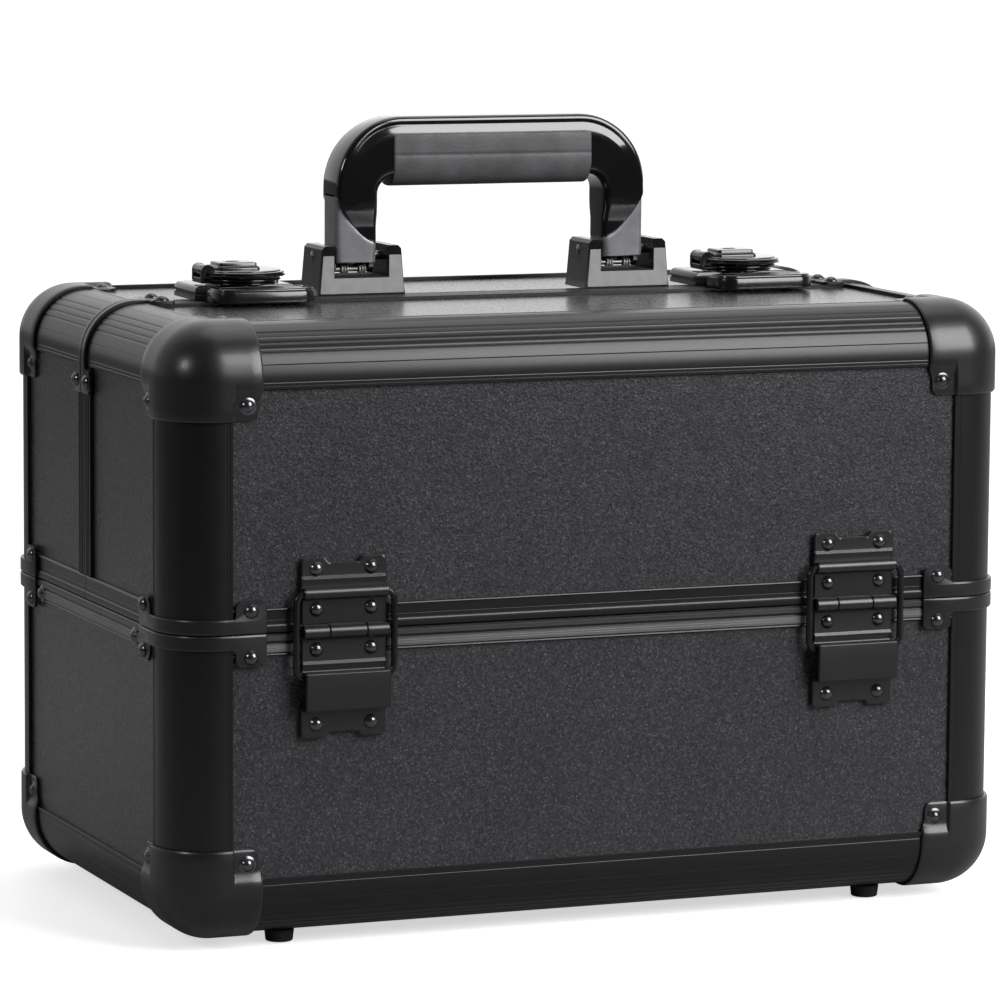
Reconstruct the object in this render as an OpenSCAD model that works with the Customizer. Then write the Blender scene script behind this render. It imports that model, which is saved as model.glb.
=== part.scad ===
// Two-lid aluminium-framed train case: a base box with two half lids that swing
// outward on belt hinges, wire stays, cantilever trays, a folding handle and two
// key-locking turn latches. Millimetres, +Z up, origin at the centre of the
// footprint on the plane the feet stand on. Front is -Y.

/* [Body] */
// Outside width of the case, left to right
body_w = 373; // [350:1:400]
// Outside depth of the case, front to back
body_d = 222; // [222:1:236]
// Height of the case without feet and handle
body_h = 250; // [246:1:262]
// Height of a rubber foot
foot_h = 5; // [3:0.5:8]
// Height of the belt (lid joint) above the case underside
belt_h = 126; // [122:1:128]
// Distance of the lid-to-lid joint behind the middle of the case
seam_y = 5.1; // [5.1:0.1:6]
// Gap between the closed rims
rim_gap = 0.5; // [0.3:0.1:0.7]

/* [Edge profiles] */
// Width of a quarter-round edge profile on each face
leg = 25.6; // [25:0.1:27]
// Outside radius of the edge profiles
edge_r = 22; // [21:0.5:22]
// Thickness of the extruded skin
skin = 1.5; // [1.2:0.1:1.5]
// Height of a lid rim rail
lid_rim = 10; // [9:0.5:11]
// Height of a base rim rail
base_rim = 9; // [8.5:0.5:9.5]
// Width of a rail along the lid-to-lid joint
seam_rim = 8; // [7:0.5:9]
// Thickness of the covered board panels
panel_t = 5; // [4.5:0.1:5]

/* [Corner hardware] */
// Reach of a pressed ball corner along each face
corner_e = 38; // [36:0.5:40]
// Thickness of the pressed sheet of corners and straps
sheet = 1.4; // [1:0.1:1.6]
// Diameter of a rivet head
rivet_d = 6; // [5:0.1:6.4]

/* [Hinges and stays] */
// Distance of each hinge from the middle of the case
hinge_x = 114; // [105:1:118]
// Width of a hinge plate
plate_w = 36.5; // [34:0.5:38]
// Diameter of the stay ring wire
wire_d = 2.8; // [2.4:0.1:2.8]
// Hinge pin diameter
pin_d = 2.7; // [2.5:0.1:2.7]

/* [Handle] */
// Overall width of the handle frame
handle_w = 142; // [138:1:144]
// Height of the handle above the case top
handle_h = 75.5; // [72:0.5:80]
// Distance of the handle pivot behind the middle of the case
handle_y = 20; // [19:0.5:22]
// Height of the handle pivot above the case top
pivot_h = 16; // [15.5:0.1:16]
// Centre of a handle leg from the middle of the case
bracket_x = 61.5; // [60.5:0.1:62]

/* [Latches] */
// Distance of each latch from the middle of the case
latch_x = 115; // [112:1:118]
// Width of a latch plate
latch_w = 45; // [42:1:46]
// Diameter of the latch flap
flap_d = 38; // [36:0.5:38]

/* [Trays] */
// Length of a tray, left to right
tray_l = 335; // [300:1:335]
// Height of a tray
tray_hh = 42; // [36:1:42]
// Height of one tray above the tray below it
tray_pitch = 46; // [45:0.5:46]
// Wall thickness of a tray
tray_t = 2.2; // [1.6:0.1:2.4]
// Lean of the tray arms from upright when the lids are closed
arm_lean = 26; // [24:0.5:26]

/* [Hidden] */
$fn = 48;
half_w = body_w/2;
half_d = body_d/2;
top_z = foot_h + body_h;
belt_z = foot_h + belt_h;
base_top = belt_z - rim_gap/2;
lid_bottom = belt_z + rim_gap/2;
front_seam = seam_y - rim_gap/2;    // rear edge of the front lid
rear_seam = seam_y + rim_gap/2;     // front edge of the rear lid

// Depths measured inward from a case face
part_gap = 0.1;                     // clearance between neighbouring parts
inner_t = 1.4;                      // thickness of the inner leg of a profile
inner_in = skin + panel_t + 0.3;    // start of the inner leg
wall = inner_in + inner_t;          // inner face of the profiles
panel_out = skin + part_gap;        // outer face of a panel
panel_in = leg - 4.6;               // where a panel starts inside a profile
lining_out = wall + part_gap;
lining_in = lining_out + 1.5;
rail_in = leg + part_gap;           // where a rail starts beside a corner
rail_l = 2*(half_w - rail_in);      // length of a rail along X

// Distances from a joint between rims
rim_web = 2.2;                      // closed web of a rim rail
panel_edge = 2.4;
lining_edge = 2.8;
seam_lining_edge = 3;

BLACK = [0.055, 0.056, 0.06];
SATIN = [0.085, 0.086, 0.09];
PANEL = [0.13, 0.13, 0.14];
GLOSS = [0.03, 0.03, 0.032];
STEEL = [0.55, 0.56, 0.58];
LINER = [0.06, 0.06, 0.065];

// ---------- helpers ----------
// box given by its limits on each axis
module block(x0, x1, y0, y1, z0, z1)
  translate([x0, y0, z0]) cube([x1-x0, y1-y0, z1-z0]);
module x_rod(x0, x1, r) translate([x0, 0, 0]) rotate([0, 90, 0]) cylinder(r=r, h=x1-x0);
module y_rod(y0, y1, r) translate([0, y0, 0]) rotate([-90, 0, 0]) cylinder(r=r, h=y1-y0);
// extrusion along +X: section x becomes y, section y becomes z
module extrude_x(length) rotate([90, 0, 90]) linear_extrude(length) children();
// extrusion along -Y: section x stays x, section y becomes z
module extrude_front(length) rotate([90, 0, 0]) linear_extrude(length) children();
// shape turned from the front to the rear
module rear() mirror([0, 1, 0]) children();
// flipped to point downward
module upended() mirror([0, 0, 1]) children();
// copies on the left and right, and at the front and rear
module left_right() { children(); mirror([1, 0, 0]) children(); }
module front_rear() { children(); rear() children(); }

// ---------- edge and rim rails ----------
// quarter-round edge extrusion, outer corner at the origin
module edge_section() {
  flat = leg - edge_r;
  web_at = panel_in - 1.8;          // web that stops the panel edge
  web_start = 0.9;
  translate([edge_r, edge_r]) intersection() {
    difference() { circle(r=edge_r); circle(r=edge_r-skin); }
    translate([-edge_r, -edge_r]) square(edge_r);
  }
  translate([edge_r, 0]) square([flat, skin]);
  translate([0, edge_r]) square([skin, flat]);
  translate([inner_in, inner_in]) square([leg-inner_in, inner_t]);
  translate([inner_in, inner_in]) square([inner_t, leg-inner_in]);
  translate([web_at, web_start]) square([1.4, inner_in]);
  translate([web_start, web_at]) square([inner_in, 1.4]);
}
// edge rails on the front and left faces; flip=1 turns the rounding upward
module edge_x(z, flip=0)
  translate([-half_w+rail_in, -half_d, z]) mirror([0, 0, flip]) extrude_x(rail_l) edge_section();
module edge_y(y_end, z, flip=0)
  translate([-half_w, y_end, z]) mirror([0, 0, flip])
    extrude_front(y_end+half_d-rail_in) edge_section();
module edge_z(z0, z1) translate([-half_w, -half_d, z0]) linear_extrude(z1-z0) edge_section();

// rim rail: x is depth into the wall, y is distance from the joint;
// tongue 1 adds a ridge on the joint face, -1 cuts a groove, 0 leaves it plain
module rim_section(height, tongue=0) difference() {
  union() {
    square([wall, height]);
    if (tongue > 0) translate([3.4, -1.2]) square([1.5, 1.3]);
  }
  translate([skin, rim_web]) square([inner_in-skin, height]);
  if (tongue < 0) translate([2.8, -1]) square([2.7, 2.4]);
}

// ---------- corner hardware ----------
belt_reach = 39.5;                  // reach of a belt strap along each face
seam_reach = 37;                    // reach of a seam strap along each face
corner_tip_r = 7;                   // rounding of a ball corner outline

// sheet bent round an edge, reaching along both faces
module wrap_section(reach) difference() {
  union() {
    translate([edge_r, edge_r]) intersection() {
      circle(r=edge_r+sheet);
      // slight overlap keeps the bend joined to its flats
      translate([-40, -40]) square(40.01);
    }
    translate([edge_r, -sheet]) square([reach-edge_r, sheet]);
    translate([-sheet, edge_r]) square([sheet, reach-edge_r]);
  }
  translate([edge_r, edge_r]) circle(r=edge_r);
  translate([edge_r, 0]) square(60);
  translate([0, edge_r]) square(60);
}
// strap with a narrow neck round the edge and a wider pad from pad_in onward; width is z
module strap(reach, neck_w, pad_w, pad_in) {
  linear_extrude(neck_w) wrap_section(reach);
  intersection() {
    linear_extrude(pad_w) wrap_section(reach);
    union() {
      translate([pad_in, -5, 0]) cube([20, 20, pad_w]);
      translate([-5, pad_in, 0]) cube([20, 20, pad_w]);
    }
  }
}
module belt_strap() strap(reach=belt_reach, neck_w=6, pad_w=13, pad_in=26.5);
module seam_strap() strap(reach=seam_reach, neck_w=3.8, pad_w=10.5, pad_in=27);

// solid filling the octant behind a rounded corner, grown outward by grow
module corner_solid(grow, reach) {
  r = edge_r + grow;
  run = reach - edge_r;
  translate([edge_r, edge_r, edge_r]) {
    sphere(r);
    cylinder(h=run, r=r);
    rotate([0, 90, 0]) cylinder(h=run, r=r);
    rotate([-90, 0, 0]) cylinder(h=run, r=r);
  }
  translate([edge_r, edge_r, -grow]) cube([run, run, reach+grow]);
  translate([edge_r, -grow, edge_r]) cube([run, reach+grow, run]);
  translate([-grow, edge_r, edge_r]) cube([reach+grow, run, run]);
}
module corner_outline() {
  side = corner_e + 3;
  mid = corner_e - corner_tip_r;
  translate([-3, -3]) square([side, side-corner_tip_r]);
  translate([-3, -3]) square([side-corner_tip_r, side]);
  translate([mid, mid]) circle(r=corner_tip_r);
}
// pressed ball corner, outer corner of the case at the origin
module ball_corner() difference() {
  intersection() {
    corner_solid(sheet, corner_e);
    linear_extrude(90, center=true) corner_outline();
    rotate([90, 0, 90]) linear_extrude(90, center=true) corner_outline();
    rotate([90, 0, 0]) linear_extrude(90, center=true) corner_outline();
  }
  corner_solid(0, corner_e+6);
}

// ---------- rivets ----------
plate_t = 1.2;                      // hinge plate thickness
rivet_in = 31.8;                    // ball corner rivets from each case edge
seam_rivet_in = 32;                 // seam strap rivets from the case edge
seam_rivet_off = 6.6;               // seam strap rivets from the joint
belt_rivet_off = 10;                // belt strap rivets from the joint

// domed rivet with its shank, surface at z = 0
module rivet() {
  head_r = rivet_d/2;
  head_h = 1.9;
  dome_r = (head_r*head_r + head_h*head_h)/(2*head_h);
  intersection() {
    translate([0, 0, head_h-dome_r]) sphere(dome_r);
    cylinder(r=head_r+1, h=4);
  }
  translate([0, 0, -2.6]) cylinder(r=1.5, h=2.7);
}
// rivets by face; lift is the thickness of the sheet they sit on
module rivet_front(x, z, lift) translate([x, -half_d-lift, z]) rotate([90, 0, 0]) rivet();
module rivet_left(y, z, lift) translate([-half_w-lift, y, z]) rotate([0, -90, 0]) rivet();
module rivet_top(x, y) translate([x, y, top_z+sheet]) rivet();
module rivet_under(x, y) translate([x, y, foot_h-sheet]) rotate([180, 0, 0]) rivet();

module belt_rivets(z) {
  rivet_front(-half_w+33, z, sheet);
  rivet_left(-half_d+34, z, sheet);
}
module corner_rivets(z) {
  rivet_front(-half_w+rivet_in, z, sheet);
  rivet_left(-half_d+rivet_in, z, sheet);
}
module hinge_rivets(heights)
  for (side=[-1,1], dx=[-11.8,11.8], z=heights) rivet_front(side*hinge_x+dx, z, plate_t);

// ---------- tray linkage positions ----------
// pivot_y and lid_stud are positions for the front set; the rear set is mirrored
front_pivot_y = -half_d + 49;
rear_pivot_y = half_d - 45.6;
pivot_drop = 6;                     // arm pivots below the belt
arm_z = belt_z - pivot_drop;
arm_in = tray_l/2 + 2;              // inner face of the arms
arm_gap = 25;                       // inner to outer arm
arm_t = 1.7;
arm_pin_r = 2;
arm_hole_r = 2.06;
tray_rise = 16;                     // underside of the lowest tray above the belt
tray_pin_z = 10;                    // pivot holes above a tray's underside
link_at = 44.4;                     // link pivot along the inner arm
stud_y = -half_d + 18.75;           // stud inside a lid
stud_z = belt_z + 18.85;
mount_gap = 1.7;                    // wall to the tray brackets and lid studs
// distance along an arm to the pivot of tray level i
function arm_len(i) = (tray_rise + tray_pin_z + tray_pitch*i + pivot_drop)/cos(arm_lean);

// ---------- base box ----------
module base_long_panels() color(PANEL) front_rear()
  block(-half_w+panel_in, half_w-panel_in, -half_d+panel_out, -half_d+panel_out+panel_t,
        foot_h+panel_in, base_top-panel_edge);
module base_side_panels() color(PANEL) left_right()
  block(-half_w+panel_out, -half_w+panel_out+panel_t, -half_d+panel_in, half_d-panel_in,
        foot_h+panel_in, base_top-panel_edge);
module base_bottom_panel() color(PANEL)
  block(-half_w+panel_in, half_w-panel_in, -half_d+panel_in, half_d-panel_in,
        foot_h+panel_out, foot_h+panel_out+panel_t);
module base_lining() color(LINER) {
  floor_in = lining_in + 0.4;
  side_in = lining_in + part_gap;
  z0 = foot_h + side_in;
  z1 = base_top - lining_edge;
  block(-half_w+floor_in, half_w-floor_in, -half_d+floor_in, half_d-floor_in,
        foot_h+lining_out, foot_h+lining_in);
  front_rear()
    block(-half_w+side_in, half_w-side_in, -half_d+lining_out, -half_d+lining_in, z0, z1);
  left_right()
    block(-half_w+lining_out, -half_w+lining_in, -half_d+side_in, half_d-side_in, z0, z1);
}
module base_edge_profiles() color(SATIN) {
  front_rear() edge_x(foot_h);
  left_right() edge_y(half_d-rail_in, foot_h);
  left_right() front_rear() edge_z(foot_h+rail_in, base_top);
}
module base_belt_rails() color(SATIN) {
  front_rear() translate([-half_w+rail_in, -half_d, base_top])
    upended() extrude_x(rail_l) rim_section(base_rim, 1);
  left_right() translate([-half_w, half_d-rail_in, base_top])
    upended() extrude_front(2*(half_d-rail_in)) rim_section(base_rim, 1);
}
module base_ball_corners() color(SATIN)
  left_right() front_rear() translate([-half_w, -half_d, foot_h]) ball_corner();
module base_corner_straps() color(SATIN)
  left_right() front_rear() translate([-half_w, -half_d, base_top]) upended() belt_strap();
module base_rivets() color(GLOSS) {
  left_right() front_rear() {
    belt_rivets(base_top-belt_rivet_off);
    corner_rivets(foot_h+rivet_in);
    rivet_under(-half_w+rivet_in, -half_d+rivet_in);
  }
  left_right() for (y=[front_pivot_y, rear_pivot_y]) rivet_left(y, arm_z, 0);
  front_rear() hinge_rivets([belt_z-7.5, belt_z-38]);
}
module rubber_feet() color(BLACK) left_right() front_rear() translate([-133, -88, 0]) {
  cylinder(r1=5.6, r2=6.2, h=foot_h);
  cylinder(r=2, h=foot_h+1.55);     // fixing into the bottom
}

// ---------- hinges and stays, local origin on the front hinge axis ----------
hinge_y = half_d + 3;               // hinge axis distance from the middle
knuckle_left = 10.8;                // widths of the lower plate's two knuckles
knuckle_right = 9.4;
knuckle_gap = 0.3;
slot_w = 13;                        // notch in the far end of a plate
// plate sections: depth toward the case, height from the hinge axis
LOWER_PLATE = [
  [1.8,-3.2], [1.8,-12], [0.6,-12.6], [0.6,-13.4], [1.8,-14], [1.8,-15.6],
  [-4.5,-16.4], [-4.5,-31.4], [-3.9,-32], [1.8,-32.6], [1.8,-44], [3,-44],
  [3,-31.4], [-3.3,-30.8], [-3.3,-17.4], [3,-16.8], [3,-3.2]];
UPPER_PLATE = [
  [1.8,3.2], [1.8,12.2], [-1.2,12.9], [-2.85,13.8], [-2.85,15.6], [-2.15,16.1],
  [-2.15,17.7], [-2.7,18.4], [-1.6,19.4], [1.8,20.4], [1.8,30], [3,30],
  [3,19.2], [-1.0,18.5], [-1.6,18.0], [-1.6,14.5], [-1.0,14.0], [3,13.2], [3,3.2]];

module at_hinges()
  for (side=[-1,1]) translate([side*hinge_x, -hinge_y, belt_z]) children();
module plate(section, slot_z) difference() {
  translate([-plate_w/2, 0, 0]) extrude_x(plate_w) polygon(section);
  translate([-slot_w/2, 0, slot_z]) cube([slot_w, 5, 4]);
}
// barrel round the pin with a tab that starts at height tab_z
module knuckle(x0, x1, tab_z) difference() {
  union() {
    x_rod(x0, x1, 2.9);
    translate([x0, 1.8, tab_z]) cube([x1-x0, 1.1, 3.3]);
  }
  x_rod(x0-1, x1+1, pin_d/2+0.05);
}
module lower_plate() {
  plate(LOWER_PLATE, -45);
  knuckle(-plate_w/2, -plate_w/2+knuckle_left, -3.3);
  knuckle(plate_w/2-knuckle_right, plate_w/2, -3.3);
}
module upper_plate() {
  plate(UPPER_PLATE, 26.8);
  knuckle(-plate_w/2+knuckle_left+knuckle_gap, plate_w/2-knuckle_right-knuckle_gap, 0);
}
module hinge_pin() x_rod(-plate_w/2+0.3, plate_w/2-0.3, pin_d/2);
// rectangular wire ring with rounded corners
module stay_ring() {
  ring_half = 21.1;
  bend = 4.4;
  upper = 16;
  lower = -19;
  run = ring_half - bend;
  wire_r = wire_d/2;
  for (z=[upper, lower]) translate([0, 0, z]) x_rod(-run, run, wire_r);
  for (side=[-1,1]) translate([side*ring_half, 0, lower+bend])
    cylinder(r=wire_r, h=upper-lower-2*bend);
  // bends: side, height of the bend centre, turn
  for (b=[[1,upper-bend,0], [-1,upper-bend,90], [-1,lower+bend,180], [1,lower+bend,270]])
    translate([b[0]*run, 0, b[1]]) rotate([90, 0, 0]) rotate([0, 0, b[2]])
      rotate_extrude(angle=90) translate([bend, 0]) circle(r=wire_r);
}
module base_hinge_plates() color(BLACK) front_rear() at_hinges() lower_plate();
module front_hinge_plates() color(BLACK) at_hinges() upper_plate();
module rear_hinge_plates() color(BLACK) rear() at_hinges() upper_plate();
module front_hinge_pins() color(STEEL) at_hinges() hinge_pin();
module rear_hinge_pins() color(STEEL) rear() at_hinges() hinge_pin();
module front_stay_rings() color(BLACK) at_hinges() stay_ring();
module rear_stay_rings() color(BLACK) rear() at_hinges() stay_ring();

// ---------- lids: written for the front lid, seam is its edge at the joint ----------
module lid_long_panel()
  block(-half_w+panel_in, half_w-panel_in, -half_d+panel_out, -half_d+panel_out+panel_t,
        lid_bottom+panel_edge, top_z-panel_in);
module lid_top_panel(seam)
  block(-half_w+panel_in, half_w-panel_in, -half_d+panel_in, seam-panel_edge,
        top_z-panel_out-panel_t, top_z-panel_out);
module lid_side_panels(seam) left_right()
  block(-half_w+panel_out, -half_w+panel_out+panel_t, -half_d+panel_in, seam-panel_edge,
        lid_bottom+panel_edge, top_z-panel_in);
module lid_lining(seam) {
  roof_in = lining_in + 0.4;
  side_in = lining_in + part_gap;
  y1 = seam - seam_lining_edge;
  z0 = lid_bottom + lining_edge;
  z1 = top_z - side_in;
  block(-half_w+roof_in, half_w-roof_in, -half_d+roof_in, y1,
        top_z-lining_in, top_z-lining_out);
  block(-half_w+side_in, half_w-side_in, -half_d+lining_out, -half_d+lining_in, z0, z1);
  left_right() block(-half_w+lining_out, -half_w+lining_in, -half_d+side_in, y1, z0, z1);
}
module lid_profiles(seam) {
  edge_x(top_z, flip=1);
  left_right() edge_y(seam, top_z, flip=1);
  left_right() edge_z(lid_bottom, top_z-rail_in);
}
module lid_rims(seam) {
  seam_z = lid_bottom + lid_rim + part_gap;
  // round the belt
  translate([-half_w+rail_in, -half_d, lid_bottom])
    extrude_x(rail_l) rim_section(lid_rim, -1);
  left_right() translate([-half_w, seam, lid_bottom])
    extrude_front(seam+half_d-rail_in) rim_section(lid_rim, -1);
  // along the lid-to-lid joint, on the sides and across the top
  left_right() translate([-half_w, seam, seam_z])
    rear() linear_extrude(top_z-rail_in-seam_z) rim_section(seam_rim);
  translate([-half_w+rail_in, seam, top_z])
    upended() extrude_x(rail_l) rotate(90) rim_section(seam_rim);
}
module lid_corners() left_right() translate([-half_w, -half_d, top_z]) upended() ball_corner();
module lid_straps(seam) left_right() {
  translate([-half_w, -half_d, lid_bottom]) belt_strap();
  translate([-half_w, seam, top_z]) upended() rotate([90, 0, 0]) seam_strap();
}
module lid_rivets(seam) {
  left_right() {
    belt_rivets(lid_bottom+belt_rivet_off);
    corner_rivets(top_z-rivet_in);
    rivet_top(-half_w+rivet_in, -half_d+rivet_in);
    rivet_left(seam-seam_rivet_off, top_z-seam_rivet_in, sheet);
    rivet_top(-half_w+seam_rivet_in, seam-seam_rivet_off);
    // stud inside that carries the tray link
    translate([-half_w+wall+mount_gap, stud_y, stud_z]) {
      x_rod(0, 1.2, 4);
      x_rod(0, 6, arm_pin_r);
    }
  }
  hinge_rivets([belt_z+9, belt_z+25.4]);
}
module front_lid_front_panel() color(PANEL) lid_long_panel();
module front_lid_top_panel() color(PANEL) lid_top_panel(front_seam);
module front_lid_side_panels() color(PANEL) lid_side_panels(front_seam);
module front_lid_lining() color(LINER) lid_lining(front_seam);
module front_lid_edge_profiles() color(SATIN) lid_profiles(front_seam);
module front_lid_rims() color(SATIN) lid_rims(front_seam);
module front_lid_ball_corners() color(SATIN) lid_corners();
module front_lid_straps() color(SATIN) lid_straps(front_seam);
module front_lid_rivets() color(GLOSS) lid_rivets(front_seam);
module rear_lid_rear_panel() color(PANEL) rear() lid_long_panel();
module rear_lid_top_panel() color(PANEL) rear() lid_top_panel(-rear_seam);
module rear_lid_side_panels() color(PANEL) rear() lid_side_panels(-rear_seam);
module rear_lid_lining() color(LINER) rear() lid_lining(-rear_seam);
module rear_lid_edge_profiles() color(SATIN) rear() lid_profiles(-rear_seam);
module rear_lid_rims() color(SATIN) rear() lid_rims(-rear_seam);
module rear_lid_ball_corners() color(SATIN) rear() lid_corners();
module rear_lid_straps() color(SATIN) rear() lid_straps(-rear_seam);
module rear_lid_rivets() color(GLOSS) rear() lid_rivets(-rear_seam);

// ---------- latches, local origin under the rotor on the case top ----------
latch_off = 6.9;                    // rotor axis behind the joint
base_front = latch_off - rim_gap/2; // rotor axis to the rear lid's edge
flap_axis = [-17.2, 0, 12.4];
flap_z = 10.7;
flap_t = 2.6;
key_x = -4;

// side is -1 for the left latch, 1 for the right
module at_latch(side) translate([side*latch_x, seam_y+latch_off, top_z]) children();
// plate with its two corners at y0 rounded
module round_plate(y0, y1, w, r, h) {
  translate([-w/2, y0+r, 0]) cube([w, y1-y0-r, h]);
  translate([-w/2+r, y0, 0]) cube([w-2*r, r+1, h]);
  for (side=[-1,1]) translate([side*(w/2-r), y0+r, 0]) cylinder(r=r, h=h);
}
// long bar with a section in y and z, used to shape the plates
module side_profile(points) translate([-30, 0, 0]) extrude_x(60) polygon(points);

module latch_strikes() color(GLOSS) for (side=[-1,1]) at_latch(side) intersection() {
  translate([1.5, 0, 0]) round_plate(-28, -8.6, latch_w+3, 8, 9);
  side_profile([[-28,0], [-28,4.6], [-27,6.6], [-25,7.6], [-16.3,7.6], [-8.6,1.2], [-8.6,0]]);
}
module latch_bases() color(GLOSS) for (side=[-1,1]) at_latch(side) difference() {
  intersection() {
    rear() round_plate(-25, base_front, latch_w, 5, 7.6);
    side_profile([[-base_front,0], [-base_front,7.6], [22,7.6], [24.2,6.4], [25,4.4], [25,0]]);
  }
  translate([0, 0, 2.4]) cylinder(r=10.4, h=10);
}
module rotor() difference() {
  union() {
    translate([0, 0, 2.5]) cylinder(r=6.4, h=6.5);
    // finger pointing to the front
    intersection() {
      translate([0, 0, 3.2]) cylinder(r=9.6, h=2.2);
      block(-4, 4, -12, 0, 3, 6);
    }
    // cap with an arm and two ears for the flap
    translate([0, 0, 8.4]) cylinder(r=11, h=1.8);
    block(-20, -6, -6.5, 6.5, 8.4, 10.2);
    front_rear() block(-20, -14.4, 4.3, 6.5, 10, 14.4);
  }
  translate(flap_axis) y_rod(-8, 8, 1.05);
}
module flap() difference() {
  union() {
    difference() {
      translate([0, 0, flap_z]) cylinder(r=flap_d/2, h=flap_t);
      block(-22, -13, -6.9, 6.9, 10, 14);
    }
    block(flap_axis[0], flap_axis[0]+6, -4, 4, flap_z, flap_z+flap_t);
    translate(flap_axis) {
      y_rod(-4, 4, 1.9);
      y_rod(-6.4, 6.4, 1);
    }
    block(-12.6, 4, -6.5, 6.5, 13.2, 16.4);     // lock housing
  }
  translate([key_x, 0, 10]) cylinder(r=3.55, h=8);
}
module plug() difference() {
  translate([key_x, 0, 10.9]) cylinder(r=3.5, h=5.7);
  block(key_x-0.4, key_x+0.4, -2, 2, 15, 18);   // key slot
}
module latch_rotor_left() color(BLACK) at_latch(-1) rotor();
module latch_rotor_right() color(BLACK) at_latch(1) rotor();
module latch_flap_left() color(GLOSS) at_latch(-1) flap();
module latch_flap_right() color(GLOSS) at_latch(1) flap();
module key_plug_left() color(STEEL) at_latch(-1) plug();
module key_plug_right() color(STEEL) at_latch(1) plug();

// ---------- handle ----------
leg_half = 9.4;                     // half width of a handle leg
handle_hole_r = 2.05;
spring_z = -5.6;                    // spring pin from the handle pivot
// bracket section: x from its centre, height above the case top
BRACKET = [
  [-20,0], [-19.4,3], [-18,19.6], [-16.6,21], [-12.35,21], [-12.35,7.5],
  [12.35,7.5], [12.35,21], [16.6,21], [18,19.6], [19.4,3], [20,0]];

module at_legs() for (side=[-1,1]) translate([side*bracket_x, 0, 0]) children();
module at_brackets() translate([0, handle_y, top_z]) at_legs() children();
module at_pivot() translate([0, handle_y, top_z+pivot_h]) children();

module handle_brackets() color(GLOSS) at_brackets() difference() {
  translate([0, 11, 0]) extrude_front(22) polygon(BRACKET);
  translate([0, 0, pivot_h]) x_rod(-25, 25, handle_hole_r);
}
module handle_pins() color(STEEL) at_brackets() translate([0, 0, pivot_h])
  x_rod(-17.6, 17.6, 2);
// two groups of three wire coils on a pin
module handle_springs() color(STEEL) at_brackets() translate([0, 0, pivot_h+spring_z]) {
  for (side=[-1,1], i=[-1:1]) translate([side*4+i*1.2, 0, 0])
    rotate([0, 90, 0]) rotate_extrude() translate([1.4, 0]) circle(r=0.5);
  x_rod(-9, 9, 0.8);
}
module handle_outline() {
  outer_r = 30;
  inner_r = 7;
  outer = handle_w/2;
  rise = handle_h - pivot_h;
  inner = bracket_x - leg_half;
  inner_rise = rise - 26;
  foot = 2.6;
  difference() {
    union() {
      translate([-outer, -foot]) square([2*outer, rise-outer_r+foot]);
      translate([-outer+outer_r, rise-outer_r]) square([2*(outer-outer_r), outer_r]);
      for (side=[-1,1]) translate([side*(outer-outer_r), rise-outer_r])
        circle(r=outer_r, $fn=96);
    }
    union() {
      translate([-inner, -4]) square([2*inner, inner_rise+4-inner_r]);
      translate([-inner+inner_r, 0]) square([2*(inner-inner_r), inner_rise]);
      for (side=[-1,1]) translate([side*(inner-inner_r), inner_rise-inner_r])
        circle(r=inner_r);
    }
  }
}
module handle_frame() color(GLOSS) at_pivot() difference() {
  union() {
    // full depth above, narrower at the legs
    intersection() {
      translate([0, 10, 0]) extrude_front(20) handle_outline();
      union() {
        block(-90, 90, -10, 10, 14, 84);
        block(-90, 90, -8, 8, -2.6, 30);
      }
    }
    at_legs() {
      x_rod(-leg_half, leg_half, 3.6);
      // lugs that hold the spring pin
      for (x=[-leg_half, leg_half-1.8]) block(x, x+1.8, -2.6, 2.6, -7.2, -2.4);
    }
  }
  at_legs() {
    x_rod(-20, 20, handle_hole_r);
    translate([0, 0, spring_z]) x_rod(-20, 20, 0.85);
  }
  // pocket for the grip sleeve
  difference() {
    block(-46.6, 46.6, -12, 12, 30, 52.1);
    block(-50, 50, -5.9, 5.9, 35, 65);
  }
}
module handle_grip() color(BLACK) at_pivot() difference() {
  block(-46.5, 46.5, -10.4, 10.4, 32.2, 52);
  block(-50, 50, -6, 6, 34.9, 64.9);
}

// ---------- trays and linkage: written for the front set ----------
// open tray with a partition at divider_x and two pivot holes in each end
module tray(level, pivot_y, back_y, divider_x) {
  front_y = -half_d + 12;
  hole_y = pivot_y + arm_len(level)*sin(arm_lean);
  inner = tray_l/2 - tray_t;
  translate([0, 0, belt_z+tray_rise+tray_pitch*level]) difference() {
    block(-tray_l/2, tray_l/2, front_y, back_y, 0, tray_hh);
    for (x=[[-inner, divider_x-0.8], [divider_x+0.8, inner]])
      block(x[0], x[1], front_y+tray_t, back_y-tray_t, 1.8, tray_hh+1);
    for (dy=[0, -arm_gap]) translate([0, hole_y+dy, tray_pin_z])
      x_rod(-tray_l/2-5, tray_l/2+5, arm_hole_r);
  }
}
// leaning arms with tray pins; an inner arm also has a pin for the lid link
module arm_pair(pivot_y, inner=false) left_right()
  translate([arm_in, pivot_y, arm_z]) rotate([-arm_lean, 0, 0]) difference() {
    union() {
      translate([0, -4.5, 0]) cube([arm_t, 9, arm_len(1)]);
      for (z=[0, arm_len(1)]) translate([0, 0, z]) x_rod(0, arm_t, 4.5);
      for (i=[0,1]) translate([0, 0, arm_len(i)]) {
        x_rod(-1.8, 0.1, 3.4);
        x_rod(-5.2, 0.1, arm_pin_r);
      }
      if (inner) translate([0, 0, link_at]) x_rod(1.6, 4.7, arm_pin_r);
    }
    x_rod(-1, 3, arm_hole_r);
  }
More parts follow.
